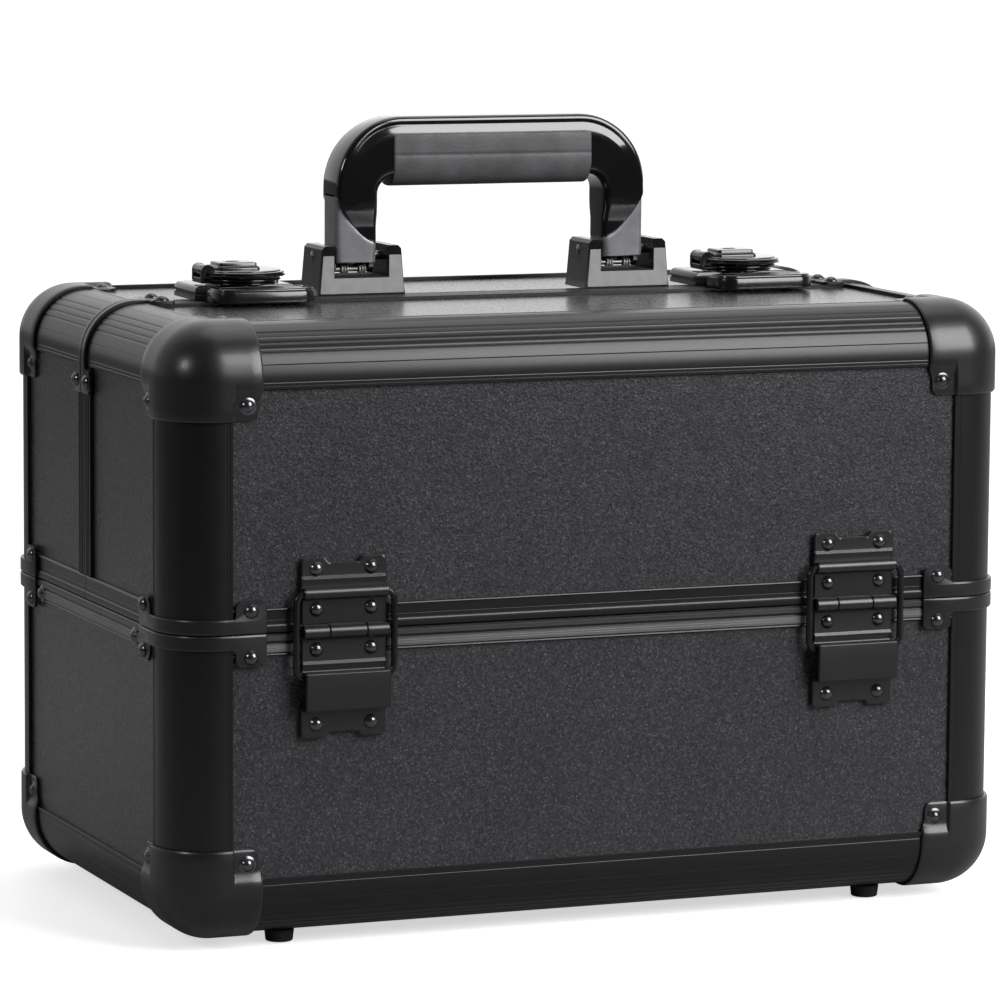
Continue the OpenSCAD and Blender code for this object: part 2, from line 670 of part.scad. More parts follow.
// strap from the lid stud to the inner arm; loose eye at the lid end
module link(pivot_y) {
  link_t = 1.6;
  arm_pin_y = pivot_y + link_at*sin(arm_lean);
  arm_pin_z = arm_z + link_at*cos(arm_lean);
  dy = arm_pin_y - stud_y;
  dz = arm_pin_z - stud_z;
  length = sqrt(dy*dy + dz*dz);
  left_right() translate([arm_in+2.9, 0, 0]) difference() {
    translate([0, stud_y, stud_z]) rotate([atan2(dz, dy), 0, 0]) {
      translate([0, 0, -4]) cube([link_t, length, 8]);
      x_rod(0, link_t, 6.4);
      translate([0, length, 0]) x_rod(0, link_t, 4.4);
    }
    translate([0, stud_y, stud_z]) x_rod(-1, 3, 4.85);
    translate([0, arm_pin_y, arm_pin_z]) x_rod(-1, 3, arm_hole_r);
  }
}
// right-hand plate with a spacer, pin and pin head for each arm
module tray_bracket(pivot_y) {
  plate_x = half_w - wall - mount_gap;
  block(plate_x-1.6, plate_x, pivot_y-33, pivot_y+8, arm_z-9, arm_z+4.5);
  for (dy=[0, -arm_gap]) translate([0, pivot_y+dy, arm_z]) {
    x_rod(arm_in+1.9, plate_x-1.5, 3.9);
    x_rod(arm_in-1.4, arm_in+2.6, arm_pin_r);
    x_rod(arm_in-1.4, arm_in-0.2, 3.5);
  }
}
module tray_brackets() color(STEEL) left_right() {
  tray_bracket(front_pivot_y);
  rear() tray_bracket(-rear_pivot_y);
}
module front_lower_tray() color(BLACK) tray(0, front_pivot_y, 3, 56);
module front_upper_tray() color(BLACK) tray(1, front_pivot_y, 3, -56);
module rear_lower_tray() color(BLACK) rear() tray(0, -rear_pivot_y, -7.5, 56);
module rear_upper_tray() color(BLACK) rear() tray(1, -rear_pivot_y, -7.5, -56);
module front_inner_arms() color(STEEL) arm_pair(front_pivot_y, inner=true);
module front_outer_arms() color(STEEL) arm_pair(front_pivot_y-arm_gap);
module rear_inner_arms() color(STEEL) rear() arm_pair(-rear_pivot_y, inner=true);
module rear_outer_arms() color(STEEL) rear() arm_pair(-rear_pivot_y-arm_gap);
module front_lid_links() color(STEEL) link(front_pivot_y);
module rear_lid_links() color(STEEL) rear() link(-rear_pivot_y);

base_long_panels();
base_side_panels();
base_bottom_panel();
base_lining();
base_edge_profiles();
base_belt_rails();
base_ball_corners();
base_corner_straps();
base_rivets();
rubber_feet();
base_hinge_plates();
tray_brackets();
front_lid_front_panel();
front_lid_top_panel();
front_lid_side_panels();
front_lid_lining();
front_lid_edge_profiles();
front_lid_rims();
front_lid_ball_corners();
front_lid_straps();
front_lid_rivets();
front_hinge_plates();
front_hinge_pins();
latch_strikes();
rear_lid_rear_panel();
rear_lid_top_panel();
rear_lid_side_panels();
rear_lid_lining();
rear_lid_edge_profiles();
rear_lid_rims();
rear_lid_ball_corners();
rear_lid_straps();
rear_lid_rivets();
rear_hinge_plates();
rear_hinge_pins();
latch_bases();
handle_brackets();
handle_pins();
handle_springs();
front_stay_rings();
rear_stay_rings();
handle_frame();
handle_grip();
latch_rotor_left();
latch_rotor_right();
latch_flap_left();
latch_flap_right();
key_plug_left();
key_plug_right();
front_lower_tray();
front_upper_tray();
rear_lower_tray();
rear_upper_tray();
front_inner_arms();
front_outer_arms();
rear_inner_arms();
rear_outer_arms();
front_lid_links();
rear_lid_links();
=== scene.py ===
"""Hard case with rounded metal edges and pressed corners.

The base carries a front and a rear lid, hinged along the belt at the front and the rear face.
The lids meet at a seam across the top, where two key latches hold them. A folding handle stands
on the rear lid, and trays on arms lie inside. The length runs along X, the front faces -Y and
Z is up. Meshes are worked out in mm and scaled to metres; lights and camera are in metres.
"""
import math
from math import cos, pi, sin

import bmesh
import bpy
import numpy as np
from mathutils import Matrix, Vector


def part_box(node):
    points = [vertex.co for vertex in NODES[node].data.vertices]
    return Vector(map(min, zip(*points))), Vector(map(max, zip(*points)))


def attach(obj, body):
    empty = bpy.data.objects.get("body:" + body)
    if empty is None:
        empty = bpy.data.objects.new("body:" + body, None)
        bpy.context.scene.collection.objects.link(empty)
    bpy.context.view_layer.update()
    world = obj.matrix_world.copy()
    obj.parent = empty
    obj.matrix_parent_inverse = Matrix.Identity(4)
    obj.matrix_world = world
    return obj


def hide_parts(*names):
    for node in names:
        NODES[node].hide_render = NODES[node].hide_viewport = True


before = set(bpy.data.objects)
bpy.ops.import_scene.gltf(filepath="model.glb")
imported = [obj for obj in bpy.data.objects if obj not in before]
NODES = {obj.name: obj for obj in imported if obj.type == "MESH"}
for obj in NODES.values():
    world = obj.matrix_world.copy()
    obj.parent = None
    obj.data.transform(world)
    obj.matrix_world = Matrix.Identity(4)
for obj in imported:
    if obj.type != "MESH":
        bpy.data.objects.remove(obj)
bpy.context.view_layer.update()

SIDES = (1, -1)
CORNERS = [(side, end) for side in SIDES for end in SIDES]


# ---------------------------------------------------------------- main sizes (mm)
def node_box(name):
    """Low and high corner of a frame node."""
    low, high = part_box(name)
    return np.array(low) * 1000, np.array(high) * 1000


def middle(name, axis):
    low, high = node_box(name)
    return (low[axis] + high[axis]) / 2


def half_length(name):
    low, high = node_box(name)
    return (high[0] - low[0]) / 2


(_, _, BASE_BOTTOM), (HALF_X, HALF_Y, BASE_TOP) = node_box("base_edge_profiles")
(_, _, LID_BOTTOM), (_, FRONT_SEAM, LID_TOP) = node_box("front_lid_edge_profiles")
REAR_SEAM = node_box("rear_lid_edge_profiles")[0][1]
BELT = (BASE_TOP + LID_BOTTOM) / 2      # height of the joint between base and lids
# name, side of the case, seam edge once the lid is mirrored to the front
LIDS = (("front", 1, FRONT_SEAM), ("rear", -1, -REAR_SEAM))

EDGE_R = 22.0                   # outer radius of every case edge
HALF_ARC = EDGE_R * pi / 4      # half the arc length round that edge
LEG = 25.6                      # how far an edge extrusion reaches over each face
SLOT_NEAR, SLOT_FAR = 1.5, 6.8  # depths of the slot that takes a panel
SLOT_FLOOR = LEG - 5.0
FLANGE = SLOT_FAR + 1.4         # depth of the inner side of the flange
GAP = 0.1                       # play between the ends of the extrusions
BASE_RIM, LID_RIM, SEAM_RIM = 9.0, 10.0, 8.0    # rim heights, from the joint
SHEET = 1.4                     # pressed corners and straps

HINGE_W, HINGE_T = 36.5, 1.2
PIN_L = HINGE_W - 0.6
HINGE_X = half_length("front_hinge_pins") - PIN_L / 2
HINGE_Y = -middle("front_hinge_pins", 1)
LATCH_HALF = 22.5
LATCH_X = half_length("latch_bases") - LATCH_HALF
LATCH_Y = middle("key_plug_right", 1)
KEY_X = -4                      # key axis, from the centre of its latch
BRACKET_X = half_length("handle_brackets") - 20
HANDLE_Y = middle("handle_brackets", 1)
PIVOT_Z = middle("handle_pins", 2)


# ---------------------------------------------------------------- mesh helpers (mm)
class Parts:
    """Gathers solids given as (vertices, faces)."""

    def __init__(self):
        self.verts, self.faces, self.count = [], [], 0

    def add(self, solid, *places):
        verts, faces = solid
        for place in places:
            verts = place(verts)
        self.verts.append(verts)
        self.faces += [[i + self.count for i in face] for face in faces]
        self.count += len(verts)

    def solid(self):
        return np.concatenate(self.verts), self.faces


def move(x=0, y=0, z=0):
    return lambda verts: verts + np.array([x, y, z])


def scale(x=1, y=1, z=1):
    """Stretches, or mirrors where a factor is -1."""
    return lambda verts: verts * np.array([x, y, z])


def turn(axis, degrees):
    angle = math.radians(degrees)
    c, s = cos(angle), sin(angle)
    matrix = np.array({"x": [[1, 0, 0], [0, c, -s], [0, s, c]],
                       "y": [[c, 0, s], [0, 1, 0], [-s, 0, c]]}[axis])
    return lambda verts: verts @ matrix.T


def loft(rings, closed=False):
    """Skin over equal rings; closed joins last to first, otherwise both ends are capped."""
    size, count = len(rings[0]), len(rings)
    faces = []
    for i in range(count if closed else count - 1):
        a, b = i * size, (i + 1) % count * size
        for j in range(size):
            k = (j + 1) % size
            faces.append([a + j, a + k, b + k, b + j])
    if not closed:
        faces.append(list(range(size))[::-1])
        faces.append([(count - 1) * size + j for j in range(size)])
    return np.concatenate([np.asarray(ring, float) for ring in rings]), faces


def lathe(profile, sides):
    """profile: (radius, z) from the axis out and back to the axis, turned about Z."""
    verts, faces, rings = [], [], []
    for r, z in profile:
        count = sides if r > 1e-6 else 1
        rings.append(list(range(len(verts), len(verts) + count)))
        verts += [(r * cos(2 * pi * j / sides), r * sin(2 * pi * j / sides), z)
                  for j in range(count)]
    for a, b in zip(rings, rings[1:]):
        for j in range(sides):
            k = (j + 1) % sides
            if len(a) == 1:
                faces.append([a[0], b[k], b[j]])
            elif len(b) == 1:
                faces.append([a[j], a[k], b[0]])
            else:
                faces.append([a[j], a[k], b[k], b[j]])
    return np.array(verts, float), faces


def rod(radius, half, chamfer, sides):
    """Round bar about Z; chamfer is (across, along)."""
    across, along = chamfer
    up = [(radius, half - along), (radius - across, half), (0, half)]
    return lathe([(r, -z) for r, z in up[::-1]] + up, sides)


def arc(cx, cy, rx, ry, start, end, count):
    return [(cx + rx * cos(a), cy + ry * sin(a)) for a in np.linspace(start, end, count)]


def rounded_rect(x0, x1, y0, y1, radii, steps):
    """Outline from the x1 y1 corner on; radii is one value or [x1y1, x0y1, x0y0, x1y0]."""
    if np.isscalar(radii):
        radii = [radii] * 4
    outline = []
    corners = ((x1, y1, -1, -1), (x0, y1, 1, -1), (x0, y0, 1, 1), (x1, y0, -1, 1))
    for i, (x, y, dx, dy) in enumerate(corners):
        r = max(radii[i], 0.01)
        for k in range(steps + 1):
            a = math.radians(90 * i + 90 * k / steps)
            outline.append((x + dx * r + r * cos(a), y + dy * r + r * sin(a)))
    return np.array(outline)


def layer(section, level, axis="z"):
    """A plane section set at a level along an axis; its columns take the other two axes."""
    return np.insert(np.asarray(section, float), "xyz".index(axis), level, axis=1)


def extrude(section, start, end, axis):
    return loft([layer(section, level, axis) for level in (start, end)])


def rounded_block(x0, x1, y0, y1, radius, levels, steps):
    """levels: (inset, z)."""
    return loft([layer(rounded_rect(x0 + i, x1 - i, y0 + i, y1 - i, max(radius - i, 0.02), steps), z)
                 for i, z in levels])


def round_levels(z0, z1, r):
    """Levels for a block whose bottom and top edges are rounded by r."""
    angles = np.linspace(0, pi / 2, 4)
    bottom = [(r * (1 - cos(a)), z0 + r - r * sin(a)) for a in angles[::-1]]
    return bottom + [(r * (1 - cos(a)), z1 - r + r * sin(a)) for a in angles]


def fillet(points, radii, steps):
    """Open path with its inner corners rounded."""
    points = [np.array(p, float) for p in points]
    out = [points[0]]
    for before, p, after, radius in zip(points, points[1:], points[2:], radii):
        u, w = before - p, after - p
        len_u, len_w = np.linalg.norm(u), np.linalg.norm(w)
        u /= len_u
        w /= len_w
        if np.linalg.norm(u + w) < 1e-3:        # straight on
            out.append(p)
            continue
        half = math.acos(max(-1, min(1, float(u @ w)))) / 2
        back = min(radius / math.tan(half), len_u * 0.45, len_w * 0.45)
        r = back * math.tan(half)
        centre = p + (u + w) / np.linalg.norm(u + w) * r / sin(half)
        start, end = p + u * back - centre, p + w * back - centre
        a0 = math.atan2(start[1], start[0])
        sweep = (math.atan2(end[1], end[0]) - a0 + pi) % (2 * pi) - pi
        out += [centre + r * np.array([cos(a0 + sweep * k / steps), sin(a0 + sweep * k / steps)])
                for k in range(steps + 1)]
    return np.array(out + [points[-1]])


def closed_fillet(points, radii, steps):
    out = []
    for i, radius in enumerate(radii):
        corner = [points[i - 1], points[i], points[(i + 1) % len(points)]]
        out += list(fillet(corner, [radius], steps)[1:-1])
    return np.array(out)


def ease(x, low, high):
    """Smooth step from 0 at low to 1 at high."""
    t = max(0.0, min(1.0, (x - low) / (high - low)))
    return t * t * (3 - 2 * t)


def patch(outline, cuts_p, cuts_q, place, inner, outer, open_axes=False):
    """Sheet between two offsets: a flat (p, q) outline cut into a grid, put by place(p, q, offset).

    open_axes leaves out the walls on p = 0 and q = 0, where patches meet.
    """
    bm = bmesh.new()
    bm.faces.new([bm.verts.new((p[0], p[1], 0)) for p in outline])
    for axis, cuts in enumerate((cuts_p, cuts_q)):
        for cut in cuts:
            point, normal = [0, 0, 0], [0, 0, 0]
            point[axis], normal[axis] = cut, 1
            bmesh.ops.bisect_plane(bm, geom=bm.verts[:] + bm.edges[:] + bm.faces[:],
                                   plane_co=point, plane_no=normal, dist=1e-4)
    bm.verts.index_update()
    bm.verts.ensure_lookup_table()
    flat = [v.co.copy() for v in bm.verts]
    n = len(flat)
    verts = [place(p[0], p[1], offset) for offset in (outer, inner) for p in flat]
    faces = []
    for face in bm.faces:
        ids = [v.index for v in face.verts]
        faces += [ids, [i + n for i in ids[::-1]]]
    for edge in bm.edges:
        if len(edge.link_faces) == 1:
            a, b = edge.verts[0].index, edge.verts[1].index
            if open_axes and any(abs(flat[a][k]) < 1e-5 and abs(flat[b][k]) < 1e-5
                                 for k in (0, 1)):
                continue
            faces.append([a, b, b + n, a + n])
    bm.free()
    return np.array(verts, float), faces


def wire_loop(path, radius, sides=16):
    """Round wire along a closed path that lies in an XZ plane."""
    rings = []
    up = None
    for i, point in enumerate(path):
        ahead = path[(i + 1) % len(path)] - path[i - 1]
        ahead /= np.linalg.norm(ahead)
        if up is None:
            up = np.cross(ahead, [0, 1, 0])
        up = up - ahead * (up @ ahead)
        up /= np.linalg.norm(up)
        across = np.cross(ahead, up)
        rings.append([point + radius * (cos(2 * pi * j / sides) * up
                                        + sin(2 * pi * j / sides) * across)
                      for j in range(sides)])
    return loft(rings, closed=True)


def trim(solid, point, normal):
    """Keeps the side of a plane the normal points away from, and closes the cut."""
    verts, faces = solid
    me = bpy.data.meshes.new("tmp")
    me.from_pydata([tuple(v) for v in verts], [], faces)
    bm = bmesh.new()
    bm.from_mesh(me)
    bmesh.ops.recalc_face_normals(bm, faces=bm.faces)
    result = bmesh.ops.bisect_plane(bm, geom=bm.verts[:] + bm.edges[:] + bm.faces[:], dist=1e-5,
                                    plane_co=point, plane_no=normal, clear_outer=True)
    edges = [g for g in result["geom_cut"] if isinstance(g, bmesh.types.BMEdge)]
    bmesh.ops.holes_fill(bm, edges=edges, sides=0)
    bm.verts.index_update()
    trimmed = (np.array([v.co for v in bm.verts]),
               [[v.index for v in face.verts] for face in bm.faces])
    bm.free()
    bpy.data.meshes.remove(me)
    return trimmed


# ---------------------------------------------------------------- objects
def make_object(name, me, body, finish, node, angle, bevel, segments, limit):
    """Shades a mesh, rounds its edges by bevel (mm), parents it to its body's empty and hides the
    frame node.
    """
    for polygon in me.polygons:
        polygon.use_smooth = True
    me.set_sharp_from_angle(angle=math.radians(angle))
    ob = bpy.data.objects.new(name, me)
    bpy.context.scene.collection.objects.link(ob)
    if bevel:
        rounding = ob.modifiers.new("edge", "BEVEL")
        rounding.width = bevel * 0.001
        rounding.segments = segments
        rounding.limit_method = "ANGLE"
        rounding.angle_limit = math.radians(limit)
        ob.modifiers.new("wn", "WEIGHTED_NORMAL")
        for edge in me.edges:
            edge.use_edge_sharp = False
    material, slot = finish
    me.materials.append(material)
    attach(ob, body)
    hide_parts(node)


def piece(name, parts, body, finish, node, angle, bevel=0):
    """New object from gathered solids, in place of a frame node."""
    verts, faces = parts.solid()
    me = bpy.data.meshes.new(name)
    me.from_pydata([tuple(v) for v in verts * 0.001], [], faces)
    me.validate()
    bm = bmesh.new()
    bm.from_mesh(me)
    bmesh.ops.remove_doubles(bm, verts=bm.verts, dist=2e-6)
    bmesh.ops.recalc_face_normals(bm, faces=bm.faces)
    bm.to_mesh(me)
    bm.free()
    make_object(name, me, body, finish, node, angle, bevel, segments=2, limit=50)


def from_node(node, name, body, finish, bevel, segments=2, angle=35):
    """New object on a node's own surface: flat faces joined up again, edges rounded."""
    source = NODES[node].data
    me = bpy.data.meshes.new(name)
    me.from_pydata([tuple(v.co) for v in source.vertices], [],
                   [tuple(p.vertices) for p in source.polygons])
    bm = bmesh.new()
    bm.from_mesh(me)
    bmesh.ops.remove_doubles(bm, verts=bm.verts, dist=1e-6)
    bmesh.ops.dissolve_limit(bm, angle_limit=math.radians(0.8), verts=bm.verts, edges=bm.edges,
                             use_dissolve_boundaries=False)
    bmesh.ops.recalc_face_normals(bm, faces=bm.faces)
    bm.to_mesh(me)
    bm.free()
    make_object(name, me, body, finish, node, angle, bevel, segments, limit=32)


# ---------------------------------------------------------------- shader helpers
MIX_A, MIX_B, MIX_COLOR = 6, 7, 2       # colour sockets of a Mix node


def rgba(color):
    """Opaque colour from a grey value or an RGB triple."""
    return (color,) * 3 + (1,) if np.isscalar(color) else (*color, 1)


def tint(color, factor):
    return tuple(c * factor for c in color)


class Nodes:
    """Builds the node tree of a material or a world."""

    def __init__(self, owner):
        owner.use_nodes = True
        self.tree = owner.node_tree
        self.tree.nodes.clear()

    def add(self, kind, values=None, **props):
        """values are input defaults by socket, props are node properties."""
        node = self.tree.nodes.new("ShaderNode" + kind)
        for name, value in props.items():
            setattr(node, name, value)
        for socket, value in (values or {}).items():
            node.inputs[socket].default_value = value
        return node

    def link(self, source, output, target, socket):
        self.tree.links.new(source.outputs[output], target.inputs[socket])

    def ramp(self, source, output, stops):
        """stops: (position, grey or RGB)."""
        node = self.add("ValToRGB")
        elements = node.color_ramp.elements
        while len(elements) < len(stops):
            elements.new(0.5)
        for element, (position, color) in zip(elements, stops):
            element.position = position
            element.color = rgba(color)
        self.link(source, output, node, "Fac")
        return node

    def multiply(self, a, b):
        """Product of two colours; the result is at MIX_COLOR."""
        node = self.add("Mix", {0: 1.0}, data_type="RGBA", blend_type="MULTIPLY")
        self.link(a, 0, node, MIX_A)
        self.link(b, 0, node, MIX_B)
        return node

    def map_range(self, source, output, span, to):
        """Maps the span (min, max) onto the range to."""
        node = self.add("MapRange", dict(enumerate(span + to, 1)))
        self.link(source, output, node, 0)
        return node

    def grey(self, source):
        """Colour with one value in all three channels."""
        node = self.add("CombineColor")
        for i in range(3):
            self.link(source, 0, node, i)
        return node


class Surface(Nodes):
    """Material round a Principled shader, textured in object coordinates."""

    def __init__(self, name, **values):
        self.material = bpy.data.materials.new(name)
        super().__init__(self.material)
        self.out = self.add("OutputMaterial")
        self.shader = self.add("BsdfPrincipled")
        self.link(self.shader, "BSDF", self.out, "Surface")
        self.coords = self.add("TexCoord")
        sockets = {"metallic": "Metallic", "rough": "Roughness", "specular": "Specular IOR Level",
                   "coat": "Coat Weight", "coat_rough": "Coat Roughness",
                   "sheen": "Sheen Weight"}
        for key, value in values.items():
            self.shader.inputs[sockets[key]].default_value = value

    def noise(self, scale, detail=4, rough=0.55, stretch=(1, 1, 1)):
        node = self.add("TexNoise", {"Scale": scale, "Detail": detail, "Roughness": rough})
        mapping = self.add("Mapping", {"Scale": stretch})
        self.link(self.coords, "Object", mapping, "Vector")
        self.link(mapping, "Vector", node, "Vector")
        return node

    def voronoi(self, scale, randomness=1.0):
        node = self.add("TexVoronoi", {"Scale": scale, "Randomness": randomness})
        self.link(self.coords, "Object", node, "Vector")
        return node

    def drive(self, socket, source, output="Color"):
        self.link(source, output, self.shader, socket)

    def bump(self, *layers):
        """layers: (node, output, strength, depth in mm), chained."""
        last = None
        for source, output, strength, depth in layers:
            node = self.add("Bump", {"Strength": strength, "Distance": depth * 0.001})
            self.link(source, output, node, "Height")
            if last is not None:
                self.link(last, "Normal", node, "Normal")
            last = node
        self.link(last, "Normal", self.shader, "Normal")


# ---------------------------------------------------------------- materials
# Each builder returns (material, slot).
def panel(name, relief, rough):
    """Charcoal laminate with a fine, even pebble grain; rough is (low, high)."""
    mat = Surface(name, specular=0.6)
    pebbles = mat.voronoi(scale=1050, randomness=0.9)
    flecks = mat.voronoi(scale=1500)
    clouds = mat.noise(scale=30, detail=3)
    grain = mat.noise(scale=1500, detail=2, rough=0.6)
    tone = mat.ramp(flecks, "Color", [(0.0, (0.012, 0.0118, 0.0135)), (0.5, (0.0265, 0.026, 0.030)),
                                      (0.8, (0.050, 0.0495, 0.057)), (1.0, (0.105, 0.105, 0.118))])
    drift = mat.ramp(clouds, "Fac", [(0.3, 0.88), (0.7, (1.08, 1.08, 1.1))])
    mat.drive("Base Color", mat.multiply(tone, drift), MIX_COLOR)
    mat.drive("Roughness", mat.ramp(pebbles, "Color", [(0.1, rough[0]), (0.9, rough[1])]))
    mat.bump((pebbles, "Distance", 0.5 * relief, 0.16), (grain, "Fac", 0.2 * relief, 0.05))
    return mat.material, "textured_panel"


def metal(name, slot, color, rough, metallic=0.0, specular=0.5, coat=0.0, grain=0.5, drift=0.25,
          drift_scale=60, stretch=(1, 1, 1), rough_spread=0.08):
    """Painted, plated or anodised metal: soft tone drift, surface grain, varied roughness."""
    mat = Surface(name, metallic=metallic, specular=specular, coat=coat)
    if coat:
        mat.shader.inputs["Coat Roughness"].default_value = 0.08
    clouds = mat.noise(scale=drift_scale, detail=4, rough=0.6)
    fine = mat.noise(scale=1400, detail=3, rough=0.7, stretch=stretch)
    dark = tint(color, 1 - drift)
    light = tuple(min(1, c * (1 + drift)) for c in color)
    mat.drive("Base Color", mat.ramp(clouds, "Fac", [(0.32, dark), (0.68, light)]))
    low, high = max(0.03, rough - rough_spread), rough + rough_spread
    mat.drive("Roughness", mat.ramp(fine, "Fac", [(0.3, low), (0.7, high)]))
    mat.bump((clouds, "Fac", 0.05, 0.25), (fine, "Fac", grain * 0.3, 0.05))
    return mat.material, slot


def fabric(name, slot, color):
    """Short-pile lining: directionless nap with sheen."""
    mat = Surface(name, rough=0.95, specular=0.2, sheen=0.35)
    nap = mat.noise(scale=1800, detail=3, rough=0.75)
    clouds = mat.noise(scale=40, detail=4)
    tone = mat.ramp(nap, "Fac", [(0.25, tint(color, 0.55)), (0.75, tint(color, 1.6))])
    drift = mat.ramp(clouds, "Fac", [(0.3, 0.85), (0.7, 1.12)])
    mat.drive("Base Color", mat.multiply(tone, drift), MIX_COLOR)
    mat.bump((nap, "Fac", 0.6, 0.35), (clouds, "Fac", 0.2, 0.6))
    return mat.material, slot


def rubber(name, slot, color, grain_scale, depth, rough):
    """Moulded rubber or plastic with a leathery micro texture."""
    mat = Surface(name, specular=0.4)
    cells = mat.voronoi(scale=grain_scale)
    clouds = mat.noise(scale=80, detail=3)
    tone = mat.ramp(clouds, "Fac", [(0.3, tint(color, 0.8)), (0.7, tint(color, 1.25))])
    mat.drive("Base Color", tone)
    stops = [(0.0, rough - 0.12), (0.6, rough + 0.12)]
    mat.drive("Roughness", mat.ramp(cells, "Distance", stops))
    mat.bump((cells, "Distance", 0.5, depth), (clouds, "Fac", 0.1, 0.3))
    return mat.material, slot


LENGTHWISE = (0.04, 0.04, 1)    # draws the grain out along the belt

PANEL = panel("panel_pebble", relief=1.0, rough=(0.26, 0.40))
PANEL_TOP = panel("panel_pebble_top", relief=0.12, rough=(0.21, 0.31))
SATIN = metal("profile_satin", "satin_profile", color=(0.0075, 0.0075, 0.008), rough=0.31,
              specular=0.45, grain=0.12, drift=0.06, rough_spread=0.03)
BAND = metal("belt_band_anodised", "satin_profile", color=(0.125, 0.125, 0.121), rough=0.36,
             metallic=0.1, grain=0.25, drift=0.12, stretch=LENGTHWISE, rough_spread=0.05)
BEAD = metal("belt_bead_anodised", "satin_profile", color=(0.048, 0.048, 0.048), rough=0.34,
             metallic=0.1, grain=0.2, drift=0.1, stretch=LENGTHWISE, rough_spread=0.04)
PRESSED = metal("pressed_steel_black", "pressed_black", color=(0.009, 0.009, 0.0098), rough=0.34,
                specular=0.6, coat=0.1, grain=0.2, drift=0.12, rough_spread=0.05)
RIVET = metal("rivet_black_nickel", "glossy_rivet", color=(0.13, 0.13, 0.14), rough=0.2,
              metallic=0.9, grain=0.1, rough_spread=0.03)
WIRE = metal("ring_wire_black", "ring_wire", color=(0.02, 0.02, 0.022), rough=0.22,
             metallic=0.4, grain=0.2)
LATCH = metal("latch_gloss_black", "gloss_latch", color=(0.009, 0.009, 0.0102), rough=0.17,
              metallic=0.15, specular=0.6, coat=0.4, grain=0.1, rough_spread=0.03)
HANDLE = metal("handle_gloss_black", "handle_gloss", color=(0.0058, 0.0058, 0.0066), rough=0.11,
               specular=0.6, coat=0.5, grain=0.05, drift=0.15, rough_spread=0.02)
HANDLE_FOOT = metal("handle_foot_grey", "handle_gloss", color=(0.235, 0.236, 0.252), rough=0.3,
                    metallic=0.35, coat=0.3, grain=0.15, drift=0.12, drift_scale=160,
                    rough_spread=0.04)
BRACKET = metal("bracket_gloss", "bracket_gloss", color=(0.006, 0.006, 0.007), rough=0.2,
                specular=0.3, grain=0.15, rough_spread=0.03)
BRACKET_FACE = metal("bracket_face_grey", "bracket_gloss", color=(0.325, 0.325, 0.33),
                     rough=0.42, specular=0.4, grain=0.3, drift=0.08, drift_scale=260)
KEY = metal("key_plug_steel", "key_metal", color=(0.12, 0.12, 0.12), rough=0.28, metallic=0.9)
STEEL = metal("zinc_steel", "zinc_steel", color=(0.50, 0.51, 0.52), rough=0.32,
              metallic=0.95, drift=0.12)
SPRING = metal("spring_bright", "zinc_steel", color=(0.78, 0.78, 0.76), rough=0.42,
               metallic=0.55, specular=0.6, grain=0.2, drift=0.05)
ARM = metal("tray_arm_steel", "zinc_steel", color=(0.34, 0.34, 0.35), rough=0.36,
            metallic=0.9, grain=0.6, drift=0.15)
LINING = fabric("lining_black_felt", "lining", color=(0.017, 0.017, 0.019))
FEET = rubber("foot_rubber", "rubber", color=(0.008, 0.008, 0.008),
              grain_scale=1000, depth=0.1, rough=0.7)
GRIP = rubber("grip_rubber", "grip_rubber", color=(0.105, 0.105, 0.11),
              grain_scale=1250, depth=0.12, rough=0.45)
TRAY = rubber("tray_plastic", "tray_plastic", color=(0.012, 0.012, 0.013),
              grain_scale=1700, depth=0.08, rough=0.45)


# ---------------------------------------------------------------- edge extrusions and rims
def wrap(along, out):
    """Point of the rounded edge, as (depth from the side face, depth from the front face).

    along runs on the surface from the middle of the edge, out stands off the surface.
    """
    if along > HALF_ARC:
        return (EDGE_R + along - HALF_ARC, -out)
    if along < -HALF_ARC:
        return (-out, EDGE_R - along - HALF_ARC)
    a = math.radians(45) - along / EDGE_R
    return (EDGE_R - (EDGE_R + out) * sin(a), EDGE_R - (EDGE_R + out) * cos(a))


def edge_section(grooves):
    """Closed section of an edge extrusion, outer corner at the origin.

    grooves: (distance from the middle, half width, depth), on both sides of the middle.
    """
    end = HALF_ARC + LEG - EDGE_R
    stations = set(np.round(np.linspace(-HALF_ARC, HALF_ARC, 29), 4))
    stations |= {side * (end - step) for side in SIDES for step in (0, 0.15, 1.15, 1.4)}
    stations |= {round(side * centre + k * half, 4) for centre, half, _ in grooves
                 for side in SIDES for k in (-1, -0.55, 0, 0.55, 1)}

    def depth(along):
        deepest = 0.0
        for centre, half, groove in grooves:
            x = abs(abs(along) - centre) / half
            if x < 1:
                deepest = max(deepest, groove * (1 - x ** 1.5))
        if abs(along) < end - 1.2:      # the face lies below the end lips
            deepest = max(deepest, 0.16)
        if abs(along) > end - 0.1:
            deepest = max(deepest, 0.15)
        return deepest

    outer = [wrap(along, -depth(along)) for along in sorted(stations)]
    inner = [(LEG, SLOT_NEAR), (SLOT_FLOOR, SLOT_NEAR), (SLOT_FLOOR, SLOT_FAR), (LEG, SLOT_FAR),
             (LEG, FLANGE), (FLANGE, FLANGE), (FLANGE, LEG), (SLOT_FAR, LEG),
             (SLOT_FAR, SLOT_FLOOR), (SLOT_NEAR, SLOT_FLOOR), (SLOT_NEAR, LEG)]
    return np.array(outer + inner)


def rim_section(height, face, joint=()):
    """Rim section from its outer face; joint is the tongue or groove at the joint edge."""
    inner = [(SLOT_NEAR, height), (SLOT_NEAR, 2.3), (SLOT_FAR, 2.3), (SLOT_FAR, height),
             (FLANGE, height), (FLANGE, 0)]
    return np.array(face + inner + list(joint))


